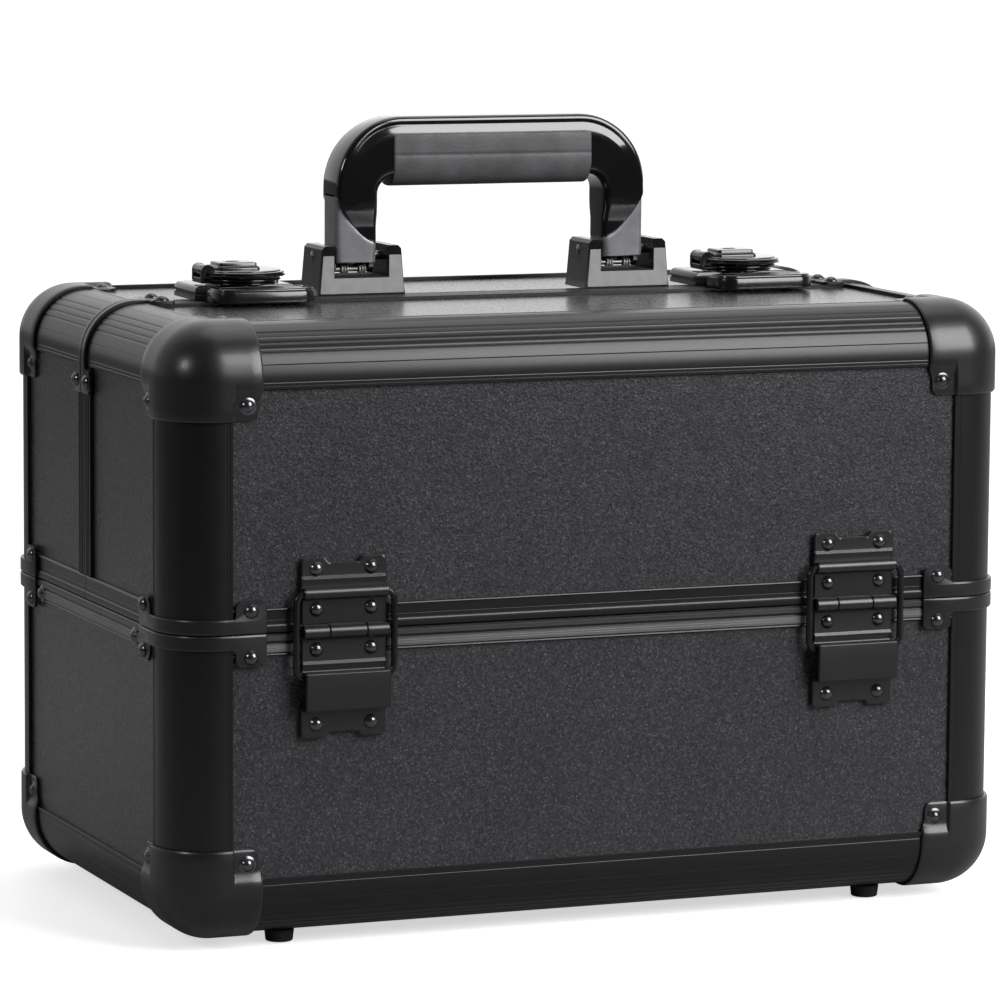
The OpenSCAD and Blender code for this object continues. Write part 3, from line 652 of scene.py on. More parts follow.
RAIL = edge_section([(1.6, 0.6, 0.42), (4.8, 0.6, 0.42), (10.8, 0.42, 0.26), (18.1, 0.42, 0.26)])
POST = edge_section([(10.8, 0.35, 0.13), (18.1, 0.42, 0.22)])

# Rim and strip sections: (depth, distance from the joint)
BASE_RIM_SECTION = rim_section(BASE_RIM, [
    (0.6, 0), (0.36, 0.2), (0.06, 0.62), (0.3, 0.95), (0.3, 3.1), (0.62, 3.3), (0.62, 3.7),
    (0.36, 3.85), (0.05, 4.28), (0.3, 4.45), (0.3, 7.65), (0.5, 7.8), (0.5, 7.95), (0.32, 8.05),
    (0.05, 8.42), (0.0, 8.55), (0.05, 8.7), (0.4, 8.85), (0.5, BASE_RIM)],
    [(5.0, 0), (5.0, -1.1), (4.7, -1.2), (3.6, -1.2), (3.3, -1.1), (3.3, 0)])
LID_RIM_SECTION = rim_section(LID_RIM, [
    (0.35, 0), (0.05, 0.3), (0, 0.7), (0, 2.6), (0.05, 2.8), (0.34, 3.22), (0.6, 3.3),
    (0.62, 3.45), (0.62, 4.9), (0.68, 5.0), (0.68, 5.2), (0.62, 5.3), (0.6, LID_RIM - 1.4),
    (0.5, LID_RIM - 1.2), (0.06, LID_RIM - 0.95), (0.0, LID_RIM - 0.8), (0.05, LID_RIM - 0.6),
    (0.36, LID_RIM - 0.16), (0.6, LID_RIM)],
    [(5.4, 0), (5.4, 1.4), (2.9, 1.4), (2.9, 0)])
SEAM_RIM_SECTION = rim_section(SEAM_RIM, [
    (0.35, 0), (0.05, 0.3), (0, 0.8), (0, 1.6), (0.5, 1.9), (0.5, 2.3), (0.0, 2.75), (0.0, 3.4),
    (0.5, 3.75), (0.5, 4.1), (0, 4.55), (0.0, 5.3), (0.45, 5.6), (0.45, 6.1), (0, 6.6),
    (0, SEAM_RIM - 0.3), (0.2, SEAM_RIM)])
BEAD_SECTION = np.array([
    (0.35, 0.9), (0.12, 0.9), (0.03, 1.02), (0.0, 1.65), (0.1, 1.75), (0.1, 1.95), (0.0, 2.05),
    (0.0, 2.9), (0.1, 3.05), (0.35, 3.05)])
BAND_SECTION = np.array([
    (0.35, 4.38), (0.14, 4.4), (0.04, 4.5), (0.02, 5.2), (0.07, 5.3), (0.02, 5.4), (0.0, 6.1),
    (0.05, 6.2), (0.0, 6.3), (-0.02, 7.0), (0.0, 7.5), (0.1, 7.62), (0.35, 7.65)])


def front_rail(section, z, up):
    """Section run along the front at height z; up is 1 when its second column points up."""
    reach = HALF_X - LEG - GAP
    return extrude(section * (1, up) + (-HALF_Y, z), -reach, reach, "x")


def side_rail(section, z, up, end):
    """Section run along the left side, from the front corner to y = end."""
    return extrude(section * (1, up) + (-HALF_X, z), -HALF_Y + LEG + GAP, end, "y")


def corner_post(z0, z1):
    return extrude(POST + (-HALF_X, -HALF_Y), z0, z1, "z")


def base_ring(name, finish, node, section, z, up, post=None):
    """Rails on all four sides of the base, with a post at each corner if one is given."""
    parts = Parts()
    for side in SIDES:
        parts.add(front_rail(section, z, up), scale(y=side))
        parts.add(side_rail(section, z, up, HALF_Y - LEG - GAP), scale(x=side))
        if post:
            for end in SIDES:
                parts.add(post, scale(side, end))
    piece(name, parts, "base", finish, node, angle=24)


def base_edges():
    base_ring("base_profiles", SATIN, "base_edge_profiles", RAIL, BASE_BOTTOM, 1,
              corner_post(BASE_BOTTOM + LEG + GAP, BASE_TOP))
    # the rim, then two strips let into its face: a narrow bead and a wide, paler band
    for name, finish, section in (("base_rims", SATIN, BASE_RIM_SECTION),
                                  ("base_belt_beads", BEAD, BEAD_SECTION),
                                  ("base_belt_bands", BAND, BAND_SECTION)):
        base_ring(name, finish, "base_belt_rails", section, BASE_TOP, -1)


def lid_edges(tag, end, seam):
    body = tag + "_lid"
    parts = Parts()
    parts.add(front_rail(RAIL, LID_TOP, -1), scale(y=end))
    for side in SIDES:
        parts.add(side_rail(RAIL, LID_TOP, -1, seam), scale(side, end))
        parts.add(corner_post(LID_BOTTOM, LID_TOP - LEG - GAP), scale(side, end))
    piece(body + "_profiles", parts, body, SATIN, body + "_edge_profiles", angle=24)

    parts = Parts()
    upright = extrude(SEAM_RIM_SECTION * (1, -1) + (-HALF_X, seam),
                      LID_BOTTOM + LID_RIM + GAP, LID_TOP - LEG - GAP, "z")
    parts.add(front_rail(LID_RIM_SECTION, LID_BOTTOM, 1), scale(y=end))
    for side in SIDES:
        parts.add(side_rail(LID_RIM_SECTION, LID_BOTTOM, 1, seam), scale(side, end))
        parts.add(upright, scale(side, end))
    reach = HALF_X - LEG - GAP
    parts.add(extrude((seam, LID_TOP) - SEAM_RIM_SECTION[:, ::-1], -reach, reach, "x"),
              scale(y=end))
    piece(body + "_rim_rails", parts, body, SATIN, body + "_rims", angle=24)


# ---------------------------------------------------------------- pressed corners and straps
CAP = 38.0      # reach of a pressed corner from the case corner


def cap_point(p, q, out, face):
    """Point over the face x = 0 of a rounded corner, p and q from the corner.

    face names the case face it stands for; only the depth of the lowered pad depends on it.
    """
    slope_p = math.tan(pi / 4 * (1 - p / EDGE_R)) if p < EDGE_R else 0
    slope_q = math.tan(pi / 4 * (1 - q / EDGE_R)) if q < EDGE_R else 0
    ray = np.array([-1.0, -slope_p, -slope_q])
    ray /= np.linalg.norm(ray)
    across, up = (p, q) if face == "x" else (q, p)
    if face == "z":
        pad = 1.62 * ease(p, 24.6, 28.2) * ease(q, 24.6, 28.2)
    else:
        pad = 1.62 * ease(across, LEG - 0.55, LEG + 0.65) * ease(up, 23.6, 29.4)
    rolled = 0.4 * ease(max(p, q), CAP - 0.9, CAP) if out > 0 else 0
    return np.array([EDGE_R, max(p, EDGE_R), max(q, EDGE_R)]) + (EDGE_R + out - pad - rolled) * ray


def pressed_corner():
    parts = Parts()
    cuts = list(np.round(np.linspace(0, EDGE_R, 13), 4))[1:]
    cuts += [CAP - 0.9, CAP - 0.6, CAP - 0.3, 33.0]
    cuts += [LEG - 0.55, LEG - 0.25, LEG + 0.05, LEG + 0.35, LEG + 0.65]
    cuts += [23.6, 25, 26.4, 27.8, 29.4]
    cuts = sorted(set(cuts))
    tab = CAP - 1.6     # the upright tab is narrower than the cap
    plain = fillet([(CAP, 0), (CAP, CAP), (0, CAP)], [6.0], 7)
    tabbed = fillet([(CAP, 0), (CAP, 27.0), (tab, 30.5), (tab, CAP), (0, CAP)], [6, 6, 4.2], 6)
    # columns of the patch in case axes: (p, q) is (y, z) on x, (x, y) on z and (z, x) on y
    for face, columns in (("x", (0, 1, 2)), ("z", (1, 2, 0)), ("y", (2, 0, 1))):
        path = plain if face == "z" else tabbed
        outline = [(0, 0), (CAP, 0)] + list(path[1:-1]) + [(0, CAP)]
        if face == "y":
            outline = [(y, x) for x, y in outline][::-1]
        verts, faces = patch(outline, cuts, cuts,
                             lambda p, q, out, face=face: cap_point(p, q, out, face),
                             0.0, SHEET, open_axes=True)
        parts.add((verts[:, columns], faces))
    return parts.solid()


def strap(reach, band, tab_start, tab_height, radius):
    """Sheet strap round an edge: two face depths as in wrap, then the distance from the joint.

    A band of height band goes round the edge and ends in a taller tab on each face.
    """
    end = HALF_ARC + reach - EDGE_R
    tab = HALF_ARC + tab_start - EDGE_R
    corners = [(0, band), (tab, band), (tab, tab_height), (end, tab_height), (end, 0), (0, 0)]
    right = list(fillet(corners, [1.6, radius, radius, 0.5], 4)[1:-1])
    outline = right + [(-p[0], p[1]) for p in right[::-1]]

    def place(along, height, out):
        if out > 0:
            top = tab_height if abs(along) > tab else band
            rim = min(height, top - height, end - abs(along))
            out -= 0.4 * (1 - ease(rim, 0, 0.6))
            if abs(along) < tab - 1.5:      # shallow channel along the band
                out -= 0.25 * (ease(height, 0.7, 1.3) - ease(height, band - 1.3, band - 0.7))
        return (*wrap(along, out), height)

    cuts = list(np.linspace(-HALF_ARC, HALF_ARC, 21))
    cuts += [tab - 1.2, -tab + 1.2, end - 0.5, -end + 0.5]
    return patch(outline, cuts, [0.45, 0.9, band - 0.9, band - 0.45], place, 0.0, SHEET)


CORNER = pressed_corner()
BELT_STRAP = strap(reach=39.5, band=6.0, tab_start=26.5, tab_height=13.0, radius=2.6)
SEAM_STRAP = strap(reach=37.0, band=3.8, tab_start=27.0, tab_height=10.5, radius=2.2)


def over_seam(verts):
    """Turns a strap from an upright edge to a top side edge, reaching forward of the seam."""
    return verts[:, [0, 2, 1]] * (1, -1, -1)


def straps_and_corners():
    clips, corners = Parts(), Parts()
    for side, end in CORNERS:
        clips.add(BELT_STRAP, scale(z=-1), move(-HALF_X, -HALF_Y, BASE_TOP), scale(side, end))
        corners.add(CORNER, move(-HALF_X, -HALF_Y, BASE_BOTTOM), scale(side, end))
    piece("base_corner_clips", clips, "base", PRESSED, "base_corner_straps", angle=40)
    piece("base_pressed_corners", corners, "base", PRESSED, "base_ball_corners", angle=40)
    for tag, end, seam in LIDS:
        body = tag + "_lid"
        clips, corners = Parts(), Parts()
        for side in SIDES:
            mirror = scale(side, end)
            clips.add(BELT_STRAP, move(-HALF_X, -HALF_Y, LID_BOTTOM), mirror)
            clips.add(SEAM_STRAP, over_seam, move(-HALF_X, seam, LID_TOP), mirror)
            corners.add(CORNER, scale(z=-1), move(-HALF_X, -HALF_Y, LID_TOP), mirror)
        piece(body + "_clips", clips, body, PRESSED, body + "_straps", angle=40)
        piece(body + "_pressed_corners", corners, body, PRESSED, body + "_ball_corners", angle=40)


# ---------------------------------------------------------------- rivets
def rivet(radius, height, seat=0.0):
    """Domed head on z = 0; seat is the width of a flat collar round it."""
    dome = (radius ** 2 + height ** 2) / (2 * height)
    angle = math.asin(radius / dome)
    profile = [(0, height)]
    profile += [(dome * sin(angle * k / 8), height - dome + dome * cos(angle * k / 8))
                for k in range(1, 8)]
    if seat:
        profile += [(radius - 0.02, 0.3), (radius + seat * 0.55, 0.22), (radius + seat, -0.05)]
    else:
        profile += [(radius, 0.12), (radius, 0.0)]
    return lathe(profile + [(profile[-1][0] - 0.2, -0.6), (0, -0.6)], 28)


HEAD = rivet(3.0, 1.9)
SEATED_HEAD = rivet(2.9, 1.85, seat=0.9)
CORNER_IN = 31.8        # corner rivets, from the two nearest faces
CORNER_OUT = -0.25      # seat of the corner rivets, outward of the case face
HINGE_RIVET_X = (-11.8, 11.8)


# Places on the front, left and top face of the case; out stands off the face
def on_front(x, z, out=0):
    return turn("x", 90), move(x, -HALF_Y - out, z)


def on_side(y, z, out=0):
    return turn("y", -90), move(-HALF_X - out, y, z)


def on_top(x, y, out=0):
    return (move(x, y, LID_TOP + out),)


def add_rivets(parts, solid, places, mirror):
    for place in places:
        parts.add(solid, *place, mirror)


def rivets():
    corner_x, corner_y = -HALF_X + CORNER_IN, -HALF_Y + CORNER_IN
    parts = Parts()
    strap_z, corner_z = BASE_TOP - 9.2, BASE_BOTTOM + CORNER_IN
    for side in SIDES:
        for end in SIDES:
            mirror = scale(side, end)
            add_rivets(parts, HEAD, [on_front(-HALF_X + 33, strap_z, SHEET),
                                     on_side(-HALF_Y + 34, strap_z, SHEET)], mirror)
            add_rivets(parts, SEATED_HEAD, [
                on_front(corner_x, corner_z, CORNER_OUT), on_side(corner_y, corner_z, CORNER_OUT),
                (turn("x", 180), move(corner_x, corner_y, BASE_BOTTOM - CORNER_OUT))], mirror)
            add_rivets(parts, HEAD, [on_front(-HINGE_X + x, z, HINGE_T) for x in HINGE_RIVET_X
                                     for z in (BELT - 7.5, BELT - 38)], mirror)
        add_rivets(parts, SEATED_HEAD, [on_side(y, BELT - 6) for y in (-HALF_Y + 49, HALF_Y - 45.6)],
                   scale(x=side))
    piece("base_rivet_heads", parts, "base", RIVET, "base_rivets", angle=50)

    stud = lathe([(0, 0), (4, 0), (4, 1.2), (2, 1.2), (2, 5.7), (1.6, 6.0), (0, 6.0)], 28)
    strap_z, corner_z = LID_BOTTOM + 9.2, LID_TOP - CORNER_IN
    for tag, end, seam in LIDS:
        parts = Parts()
        for side in SIDES:
            mirror = scale(side, end)
            add_rivets(parts, HEAD, [on_front(-HALF_X + 33, strap_z, SHEET),
                                     on_side(-HALF_Y + 34, strap_z, SHEET)], mirror)
            add_rivets(parts, SEATED_HEAD, [on_front(corner_x, corner_z, CORNER_OUT),
                                            on_side(corner_y, corner_z, CORNER_OUT),
                                            on_top(corner_x, corner_y, CORNER_OUT)], mirror)
            add_rivets(parts, HEAD, [on_side(seam - 6.6, LID_TOP - 32, SHEET),
                                     on_top(-HALF_X + 32, seam - 6.6, SHEET)], mirror)
            add_rivets(parts, HEAD, [on_front(-HINGE_X + x, z, HINGE_T) for x in HINGE_RIVET_X
                                     for z in (BELT + 9, BELT + 25.4)], mirror)
            # stud on the inner side of the lid
            parts.add(stud, turn("y", 90),
                      move(-HALF_X + FLANGE + 1.7, -HALF_Y + 18.75, BELT + 18.85), mirror)
        piece(tag + "_lid_rivet_heads", parts, tag + "_lid", RIVET, tag + "_lid_rivets", angle=50)


# ---------------------------------------------------------------- hinges
NOTCH_HALF, NOTCH_D = 6.5, 2.2      # notch in the free end of a leaf
LEAF_R = 1.6                        # corner radius of a leaf
KNUCKLE_R, WEB_H = 2.9, 3.4

# Outer surface of the leaves, from the belt: (outward, up), with the radii of the inner points
LOWER_PATH = [(-1.8, -3.2), (-1.8, -12.2), (-1.0, -13.3), (-1.0, -13.6), (-2.0, -16.2),
              (-1.7, -16.65), (3.75, -16.0), (4.5, -16.7), (4.5, -31.4), (3.9, -32),
              (-1.8, -32.6), (-1.8, -44)]
LOWER_RADII = [0.2, 0.15, 0.15, 0.1, 0.1, 0.4, 0.4, 1.0, 0.6, 0.9]
UPPER_START = [(-1.8, 3.2), (-1.8, 12.7), (-0.6, 13.3)]
UPPER_ROLL = arc(0.2, 15.8, 2.5, 2.5, math.radians(-66), math.radians(77), 14)
UPPER_END = [(0.3, 18.2), (-2.0, 17.75), (-1.0, 21.1), (-1.0, 21.4), (-1.8, 22.45), (-1.8, 30)]


def hinge_leaf(path):
    """Bent plate swept across the hinge width, with rounded corners and a notched free end."""
    path = np.array(path)
    marks = np.concatenate([[0], np.cumsum(np.linalg.norm(np.diff(path, axis=0), axis=1))])
    length, half = marks[-1], HINGE_W / 2
    tangents = np.gradient(path, axis=0)
    tangents /= np.linalg.norm(tangents, axis=1)[:, None]
    normals = np.column_stack([tangents[:, 1], -tangents[:, 0]])
    if normals[0, 0] < 0:
        normals = -normals
    floor, inner, mouth = length - NOTCH_D, NOTCH_HALF - 0.3, NOTCH_HALF + 1.5
    outline = closed_fillet(
        [(0, -half), (length, -half), (length, -mouth), (floor, -inner),
         (floor, inner), (length, mouth), (length, half), (0, half)],
        [0.05, LEAF_R, 0.8, 0.8, 0.8, 0.8, LEAF_R, 0.05], 4)

    def inside(along, x):
        """Distance from the outline, for the rolled edge."""
        x = abs(x)
        distance = min(half - x, length - along)
        if x < NOTCH_HALF + 2.5:
            a, b = np.array([floor, inner]), np.array([length, mouth])
            normal = np.array([-(b - a)[1], (b - a)[0]])
            normal /= np.linalg.norm(normal)
            flank = float((np.array([along, x]) - a) @ normal)
            distance = min(distance, max(flank, floor - along))
        if along > length - LEAF_R and x > half - LEAF_R:
            distance = min(distance,
                           LEAF_R - math.hypot(along - length + LEAF_R, x - half + LEAF_R))
        return distance

    def place(along, x, out):
        i = int(np.searchsorted(marks, along, side="right") - 1)
        i = min(len(marks) - 2, max(0, i))
        k = (along - marks[i]) / max(1e-9, marks[i + 1] - marks[i])
        point = path[i] * (1 - k) + path[i + 1] * k
        normal = normals[i] * (1 - k) + normals[i + 1] * k
        normal /= np.linalg.norm(normal)
        if out >= 0:
            out = -0.45 * (1 - ease(inside(along, x), 0, 0.5))
        elif point[0] > -0.4 and point[1] > 0:      # thinner in the roll, which is tight
            out = -0.75
        point = point + normal * out
        return (x, -point[0], point[1])

    cuts_x = [-half + 0.2, -half + 0.5, half - 0.5, half - 0.2]
    cuts_x += [side * (NOTCH_HALF + k) for side in (-1, 1) for k in (-0.8, -0.3, 0.3, 0.9, 1.6, 2.4)]
    cuts_x += [side * (half - k) for side in (-1, 1) for k in (1.2, 2.2)]
    back = (0.2, 0.5, 1.0, 1.6, NOTCH_D, NOTCH_D + 0.25, NOTCH_D + 0.5, NOTCH_D + 0.9)
    cuts = list(marks[1:-1]) + [length - k for k in back]
    return patch(outline, cuts, cuts_x, place, -HINGE_T, 0.0)


def add_knuckle(parts, x0, x1, up, places):
    """Tube round the pin and the web that joins it to its leaf."""
    bore, neck = 1.4, KNUCKLE_R - 0.3
    profile = [(bore, x0), (neck, x0), (KNUCKLE_R, x0 + 0.3), (KNUCKLE_R, x1 - 0.3), (neck, x1),
               (bore, x1)]
    circle = [2 * pi * j / 24 for j in range(24)]
    parts.add(loft([[(x, r * cos(a), r * sin(a)) for a in circle] for r, x in profile],
                   closed=True), *places)
    web = [(1.8, 0), (3.0, 0), (3.0, up * WEB_H), (1.8, up * WEB_H)]
    parts.add(extrude(web, x0, x1, "x"), *places)


def hinges():
    lower = hinge_leaf(fillet(LOWER_PATH, LOWER_RADII, 3))
    upper = hinge_leaf(list(fillet(UPPER_START + UPPER_ROLL[:1], [0.5, 0.5], 3)) + UPPER_ROLL[1:]
                       + list(fillet(UPPER_END, [0.1, 0.15, 0.15, 0.2], 3)))
    base = Parts()
    lids = {1: Parts(), -1: Parts()}
    half = HINGE_W / 2
    for side, end in CORNERS:
        places = (move(-HINGE_X, -HINGE_Y, BELT), scale(side, end))
        base.add(lower, *places)
        lids[end].add(upper, *places)
        for x0, x1 in ((-half, -half + 10.8), (half - 9.4, half)):
            add_knuckle(base, x0, x1, -1, places)
        add_knuckle(lids[end], -half + 11.1, half - 9.7, 1, places)
    piece("base_hinge_leaves", base, "base", PRESSED, "base_hinge_plates", angle=35)
    for tag, end, _ in LIDS:
        piece(tag + "_lid_hinge_leaves", lids[end], tag + "_lid", PRESSED,
              tag + "_hinge_plates", angle=35)

    ring = wire_loop(layer(rounded_rect(-21.1, 21.1, -19, 16, 4.4, 8), 0, "y"), 1.4)
    pin = rod(radius=1.35, half=PIN_L / 2, chamfer=(0.45, 0.4), sides=20)
    for tag, end, _ in LIDS:
        rings, pins = Parts(), Parts()
        for side in SIDES:
            places = (move(-HINGE_X, -HINGE_Y, BELT), scale(side, end))
            rings.add(ring, *places)
            pins.add(pin, turn("y", 90), *places)
        piece(tag + "_wire_rings", rings, tag + "_rings", WIRE, tag + "_stay_rings", angle=40)
        piece(tag + "_hinge_pin_rods", pins, tag + "_lid", STEEL, tag + "_hinge_pins", angle=40)


# ---------------------------------------------------------------- latches
# (inset, height) up the sides of the strike plate, the base plate and the lock block
STRIKE_LEVELS = [(0.45, 0.0), (0.0, 0.45), (0.0, 5.5), (0.08, 5.75), (0.5, 6.4), (0.7, 6.5),
                 (0.78, 6.95), (1.1, 7.4), (1.7, 7.58), (4.4, 7.6)]
PLATE_LEVELS = [(0.0, 0.0), (0.0, 2.6), (0.5, 2.95), (0.5, 3.3), (0.1, 3.6), (0.1, 5.0),
                (0.5, 6.3), (1.3, 7.2), (2.4, 7.6)]
LOCK_LEVELS = [(-0.9, 12.3), (-0.9, 13.1), (-0.8, 13.35), (-0.1, 14.05), (0.25, 14.2), (0.3, 14.4),
               (0.3, 15.0), (0.45, 15.3), (0.9, 15.55), (1.6, 15.6)]
# (radius, height) of the turned parts
DRUM = [(0, 2.5), (6.0, 2.5), (6.4, 2.9), (6.4, 6.4), (14.6, 6.45), (15.1, 6.6), (15.3, 6.9),
        (15.1, 7.15), (14.75, 7.32), (14.1, 7.4), (14.1, 8.0), (16.4, 8.02), (16.9, 8.12),
        (17.1, 8.42), (16.9, 8.8), (16.3, 9.1), (15.4, 9.25), (0, 9.25)]
FLAP_STEPS = [(18.3, 10.7), (18.7, 10.78), (18.95, 11.0), (18.95, 11.2), (18.7, 11.5),
              (18.3, 11.62), (17.9, 11.66), (17.9, 11.82), (18.2, 11.9), (18.5, 12.1),
              (18.5, 12.3), (18.2, 12.62), (17.7, 12.76), (16.7, 12.8), (16.7, 12.92),
              (16.9, 13.0), (16.85, 13.15), (16.4, 13.36), (15.6, 13.42)]
FLAP_DROP = 0.9         # lowers the flap steps
BARREL = [(3.45, 8.2), (3.45, 15.35), (3.3, 15.55), (2.95, 15.6), (2.8, 15.5), (2.75, 14.9)]
LOW = scale(z=0.8)      # the plates are lower than their tables
FLAP_HINGE = (-17.2, 0, 12.4)


def circle_like(ring, radius, x=0):
    """Circle about (x, 0) with one point for each ring point, at the same bearing."""
    a = np.unwrap(np.arctan2(ring[:, 1], ring[:, 0] - x))
    return np.column_stack([x + radius * np.cos(a), radius * np.sin(a)])


def add_strike(parts, place):
    """Plate on the front lid: bull nose in front, ramp behind, raised border on the flat."""
    rings = [layer(rounded_rect(-19.6 + i, 26.2 - i, -28 + i, -8.6,
                                [0.3, 0.3, max(0.5, 8 - i), max(0.5, 9 - i)], 8), z)
             for i, z in STRIKE_LEVELS]
    parts.add(trim(loft(rings), (0, -16.3, 7.6), (0, 6.4, 7.7)), LOW, place)
    outer = rounded_rect(-15.5, 21.5, -23.4, -16.6, [0.8, 0.8, 4.2, 4.2], 6)
    inner = rounded_rect(-14.6, 20.6, -22.5, -17.3, [0.5, 0.5, 3.4, 3.4], 6)
    parts.add(loft([layer(outer, 7.45), layer(outer, 7.85), layer(inner, 7.85),
                    layer(inner, 7.45)], closed=True), LOW, place)


def add_base_plate(parts, place):
    """Plate on the rear lid with a round well, and a stop tab at its right rear."""
    rings = [layer(rounded_rect(-LATCH_HALF + i, LATCH_HALF - i, -6.65 + min(i, 0.3), 25 - i,
                                [max(0.5, 5 - i)] * 2 + [0.3, 0.3], 10), z)
             for i, z in PLATE_LEVELS]
    last = rings[-1]
    rings += [layer(circle_like(last, r), z) for r, z in ((10.7, 7.6), (10.4, 7.3), (10.4, 2.4))]
    parts.add(loft(rings), LOW, place)
    parts.add(rounded_block(13.5, 21.3, 10.5, 20.5, 1.2, round_levels(7.4, 9.6, 0.5), 4),
              LOW, place)


def latch_rotor(tag, place):
    """Drum, claw, arm and two lugs."""
    parts = Parts()
    parts.add(lathe(DRUM, 72), place)
    spread = math.asin(4 / 9.6)
    claw = [(-4, -2), (4, -2)] + arc(0, 0, 9.6, 9.6, -pi / 2 + spread, -pi / 2 - spread, 9)
    parts.add(extrude(claw, 3.2, 5.2, "z"), place)
    parts.add(rounded_block(-19.5, -6, -6.6, 6.6, 1.0, round_levels(7.0, 9.4, 0.4), 3), place)
    lug = [(-19.5, 8.0), (-13.6, 8.0)] + arc(-16.55, 12.4, 2.95, 2.6, 0, pi, 13)
    for side in SIDES:
        parts.add(extrude(lug, 4.3 * side, 6.6 * side, "y"), place)
    piece("latch_rotor_body_" + tag, parts, "rotor_" + tag, LATCH, "latch_rotor_" + tag,
          angle=30, bevel=0.25)


def flap_outline(radius):
    """Disc with a straight-sided slot for the hinge on its left."""
    a = math.asin(6.9 / radius)
    return arc(0, 0, radius, radius, -pi + a, pi - a, 56) + [(-13.0, 6.9), (-13.0, -6.9)]


def latch_flap(tag, place):
    """Stepped disc, raised lock block and hinge knuckle."""
    parts = Parts()
    rings = [layer(flap_outline(r), z - FLAP_DROP) for r, z in FLAP_STEPS]
    hole = circle_like(rings[-1], 3.6, KEY_X)
    parts.add(loft(rings + [layer(hole, 12.52), layer(hole, 9.8)], closed=True), place)
    rings = [layer(rounded_rect(-11.8 + i, 5.6 - i, -7.0 + i, 7.0 - i,
                                max(0.3, 1.6 - i * 0.6), 6), z)
             for i, z in LOCK_LEVELS]
    last = rings[-1]
    rings += [layer(circle_like(last, r, KEY_X), z)
              for r, z in ((3.95, 15.6), (3.6, 15.4), (3.6, 12.3))]
    parts.add(loft(rings, closed=True), place)
    parts.add(rounded_block(-17.2, -11.2, -4, 4, 0.3, round_levels(10.2, 13.0, 0.5), 2), place)
    for bar in (rod(radius=2.4, half=4.1, chamfer=(0.3, 0.3), sides=28),
                rod(radius=1.0, half=6.4, chamfer=(0.2, 0.2), sides=16)):
        parts.add(bar, turn("x", 90), move(*FLAP_HINGE), place)
    piece("latch_flap_disc_" + tag, parts, "flap_" + tag, LATCH, "latch_flap_" + tag, angle=28)


def key_barrel(tag, place):
    """Turned plug with a slot sunk in its face."""
    angles = [2 * pi * k / 40 for k in range(40)]
    rings = [layer([(r * cos(a), r * sin(a)) for a in angles], z) for r, z in BARREL]
    for half_w, half_l, z in ((0.5, 1.9, 14.85), (0.45, 1.85, 12.5)):
        slot = [(max(-half_w, min(half_w, 9 * half_w * cos(a))),
                 max(-half_l, min(half_l, 1.6 * half_l * sin(a)))) for a in angles]
        rings.append(layer(slot, z))
    parts = Parts()
    parts.add(loft(rings), move(KEY_X), place)
    piece("key_barrel_" + tag, parts, "key_" + tag, KEY, "key_plug_" + tag, angle=35)


def latches():
    strikes, plates = Parts(), Parts()
    for tag, side in (("left", -1), ("right", 1)):
        place = move(side * LATCH_X, LATCH_Y, LID_TOP)
        add_strike(strikes, place)
        add_base_plate(plates, place)
        latch_rotor(tag, place)
        latch_flap(tag, place)
        key_barrel(tag, place)
    piece("latch_strike_plates", strikes, "front_lid", LATCH, "latch_strikes", angle=28)
    piece("latch_base_plates", plates, "rear_lid", LATCH, "latch_bases", angle=28)


# ---------------------------------------------------------------- handle
# The bow stands up from its pivots: x across, z up from the pivot height.
BOW_HALF, BOW_H, BOW_R = 71.0, 59.5, 30.0                       # outer outline
HOLE_HALF, HOLE_H, HOLE_R = 52.1, BOW_H - 26, 7.0               # inner outline
FOOT_Z, JOINT_OUTER, JOINT_INNER = -2.6, 25.6, 5.4              # foot bottom, joint to the leg
SAG = 4.6               # bow of the cross line at the joint, fading away from it
BOW_PLACE = move(-1.0, HANDLE_Y, PIVOT_Z)       # a little to one side in its brackets

# Stations: (share of the way, half depth)
FOOT_STATIONS = [(0, 7.3), (0.012, 7.8)] + [
    (t, 8) for t in (0.03, 0.1, 0.25, 0.4, 0.55, 0.7, 0.85, 1.0)] + [(1.03, 7.9)]
LEG_STATIONS = [(0, 9.55), (0.012, 9.82), (0.03, 9.96)] + [
    (0.03 * k, 10) for k in range(2, 15)] + [(0.46, 10), (0.6, 10), (0.8, 10), (0.95, 10)]
# Outer edge of the bow section: (inset, half depth with a stepped rim, half depth without)
BOW_EDGE = [(0.0, 0.0, 0.0), (0.0, 6.5, 7.4), (0.15, 7.3, 8.4), (0.55, 7.95, 9.15),
            (1.05, 8.35, 9.6), (1.5, 8.5, 9.85), (1.95, 8.55, 9.96), (2.1, 8.555, 9.985),
            (3.5, 8.555, 10), (3.65, 8.56, 10), (3.8, 8.62, 10), (4.0, 8.72, 10),
            (6.3, 9.72, 10), (6.6, 9.82, 10), (6.8, 9.84, 10)]
BOW_INNER_R = 3.4       # rounding of the section at its inner edge
# Front half of the grip section, top to bottom: (y, z)
GRIP_SECTION = [(-9.6, 52.3), (-10.1, 52.15), (-10.45, 51.8), (-10.6, 51.2), (-10.72, 49),
                (-10.74, 44.6), (-10.66, 43.7), (-10.45, 43.4), (-10.45, 43.15), (-10.78, 42.9),
                (-10.95, 42.4), (-11.05, 41.4), (-11.0, 40.0), (-10.8, 38.5), (-10.4, 37.0),
                (-9.85, 35.5), (-9.1, 34.0), (-8.1, 32.6), (-6.8, 31.3), (-5.2, 30.4),
                (-3.4, 29.85), (-1.6, 29.65), (0, 29.6)]
GRIP_HALF, GRIP_Z = 45.6, 43.0
GRIP_END = [(0, 0.93), (0.12, 0.965), (0.5, 0.99), (1.0, 1.0)]      # (inset, size)
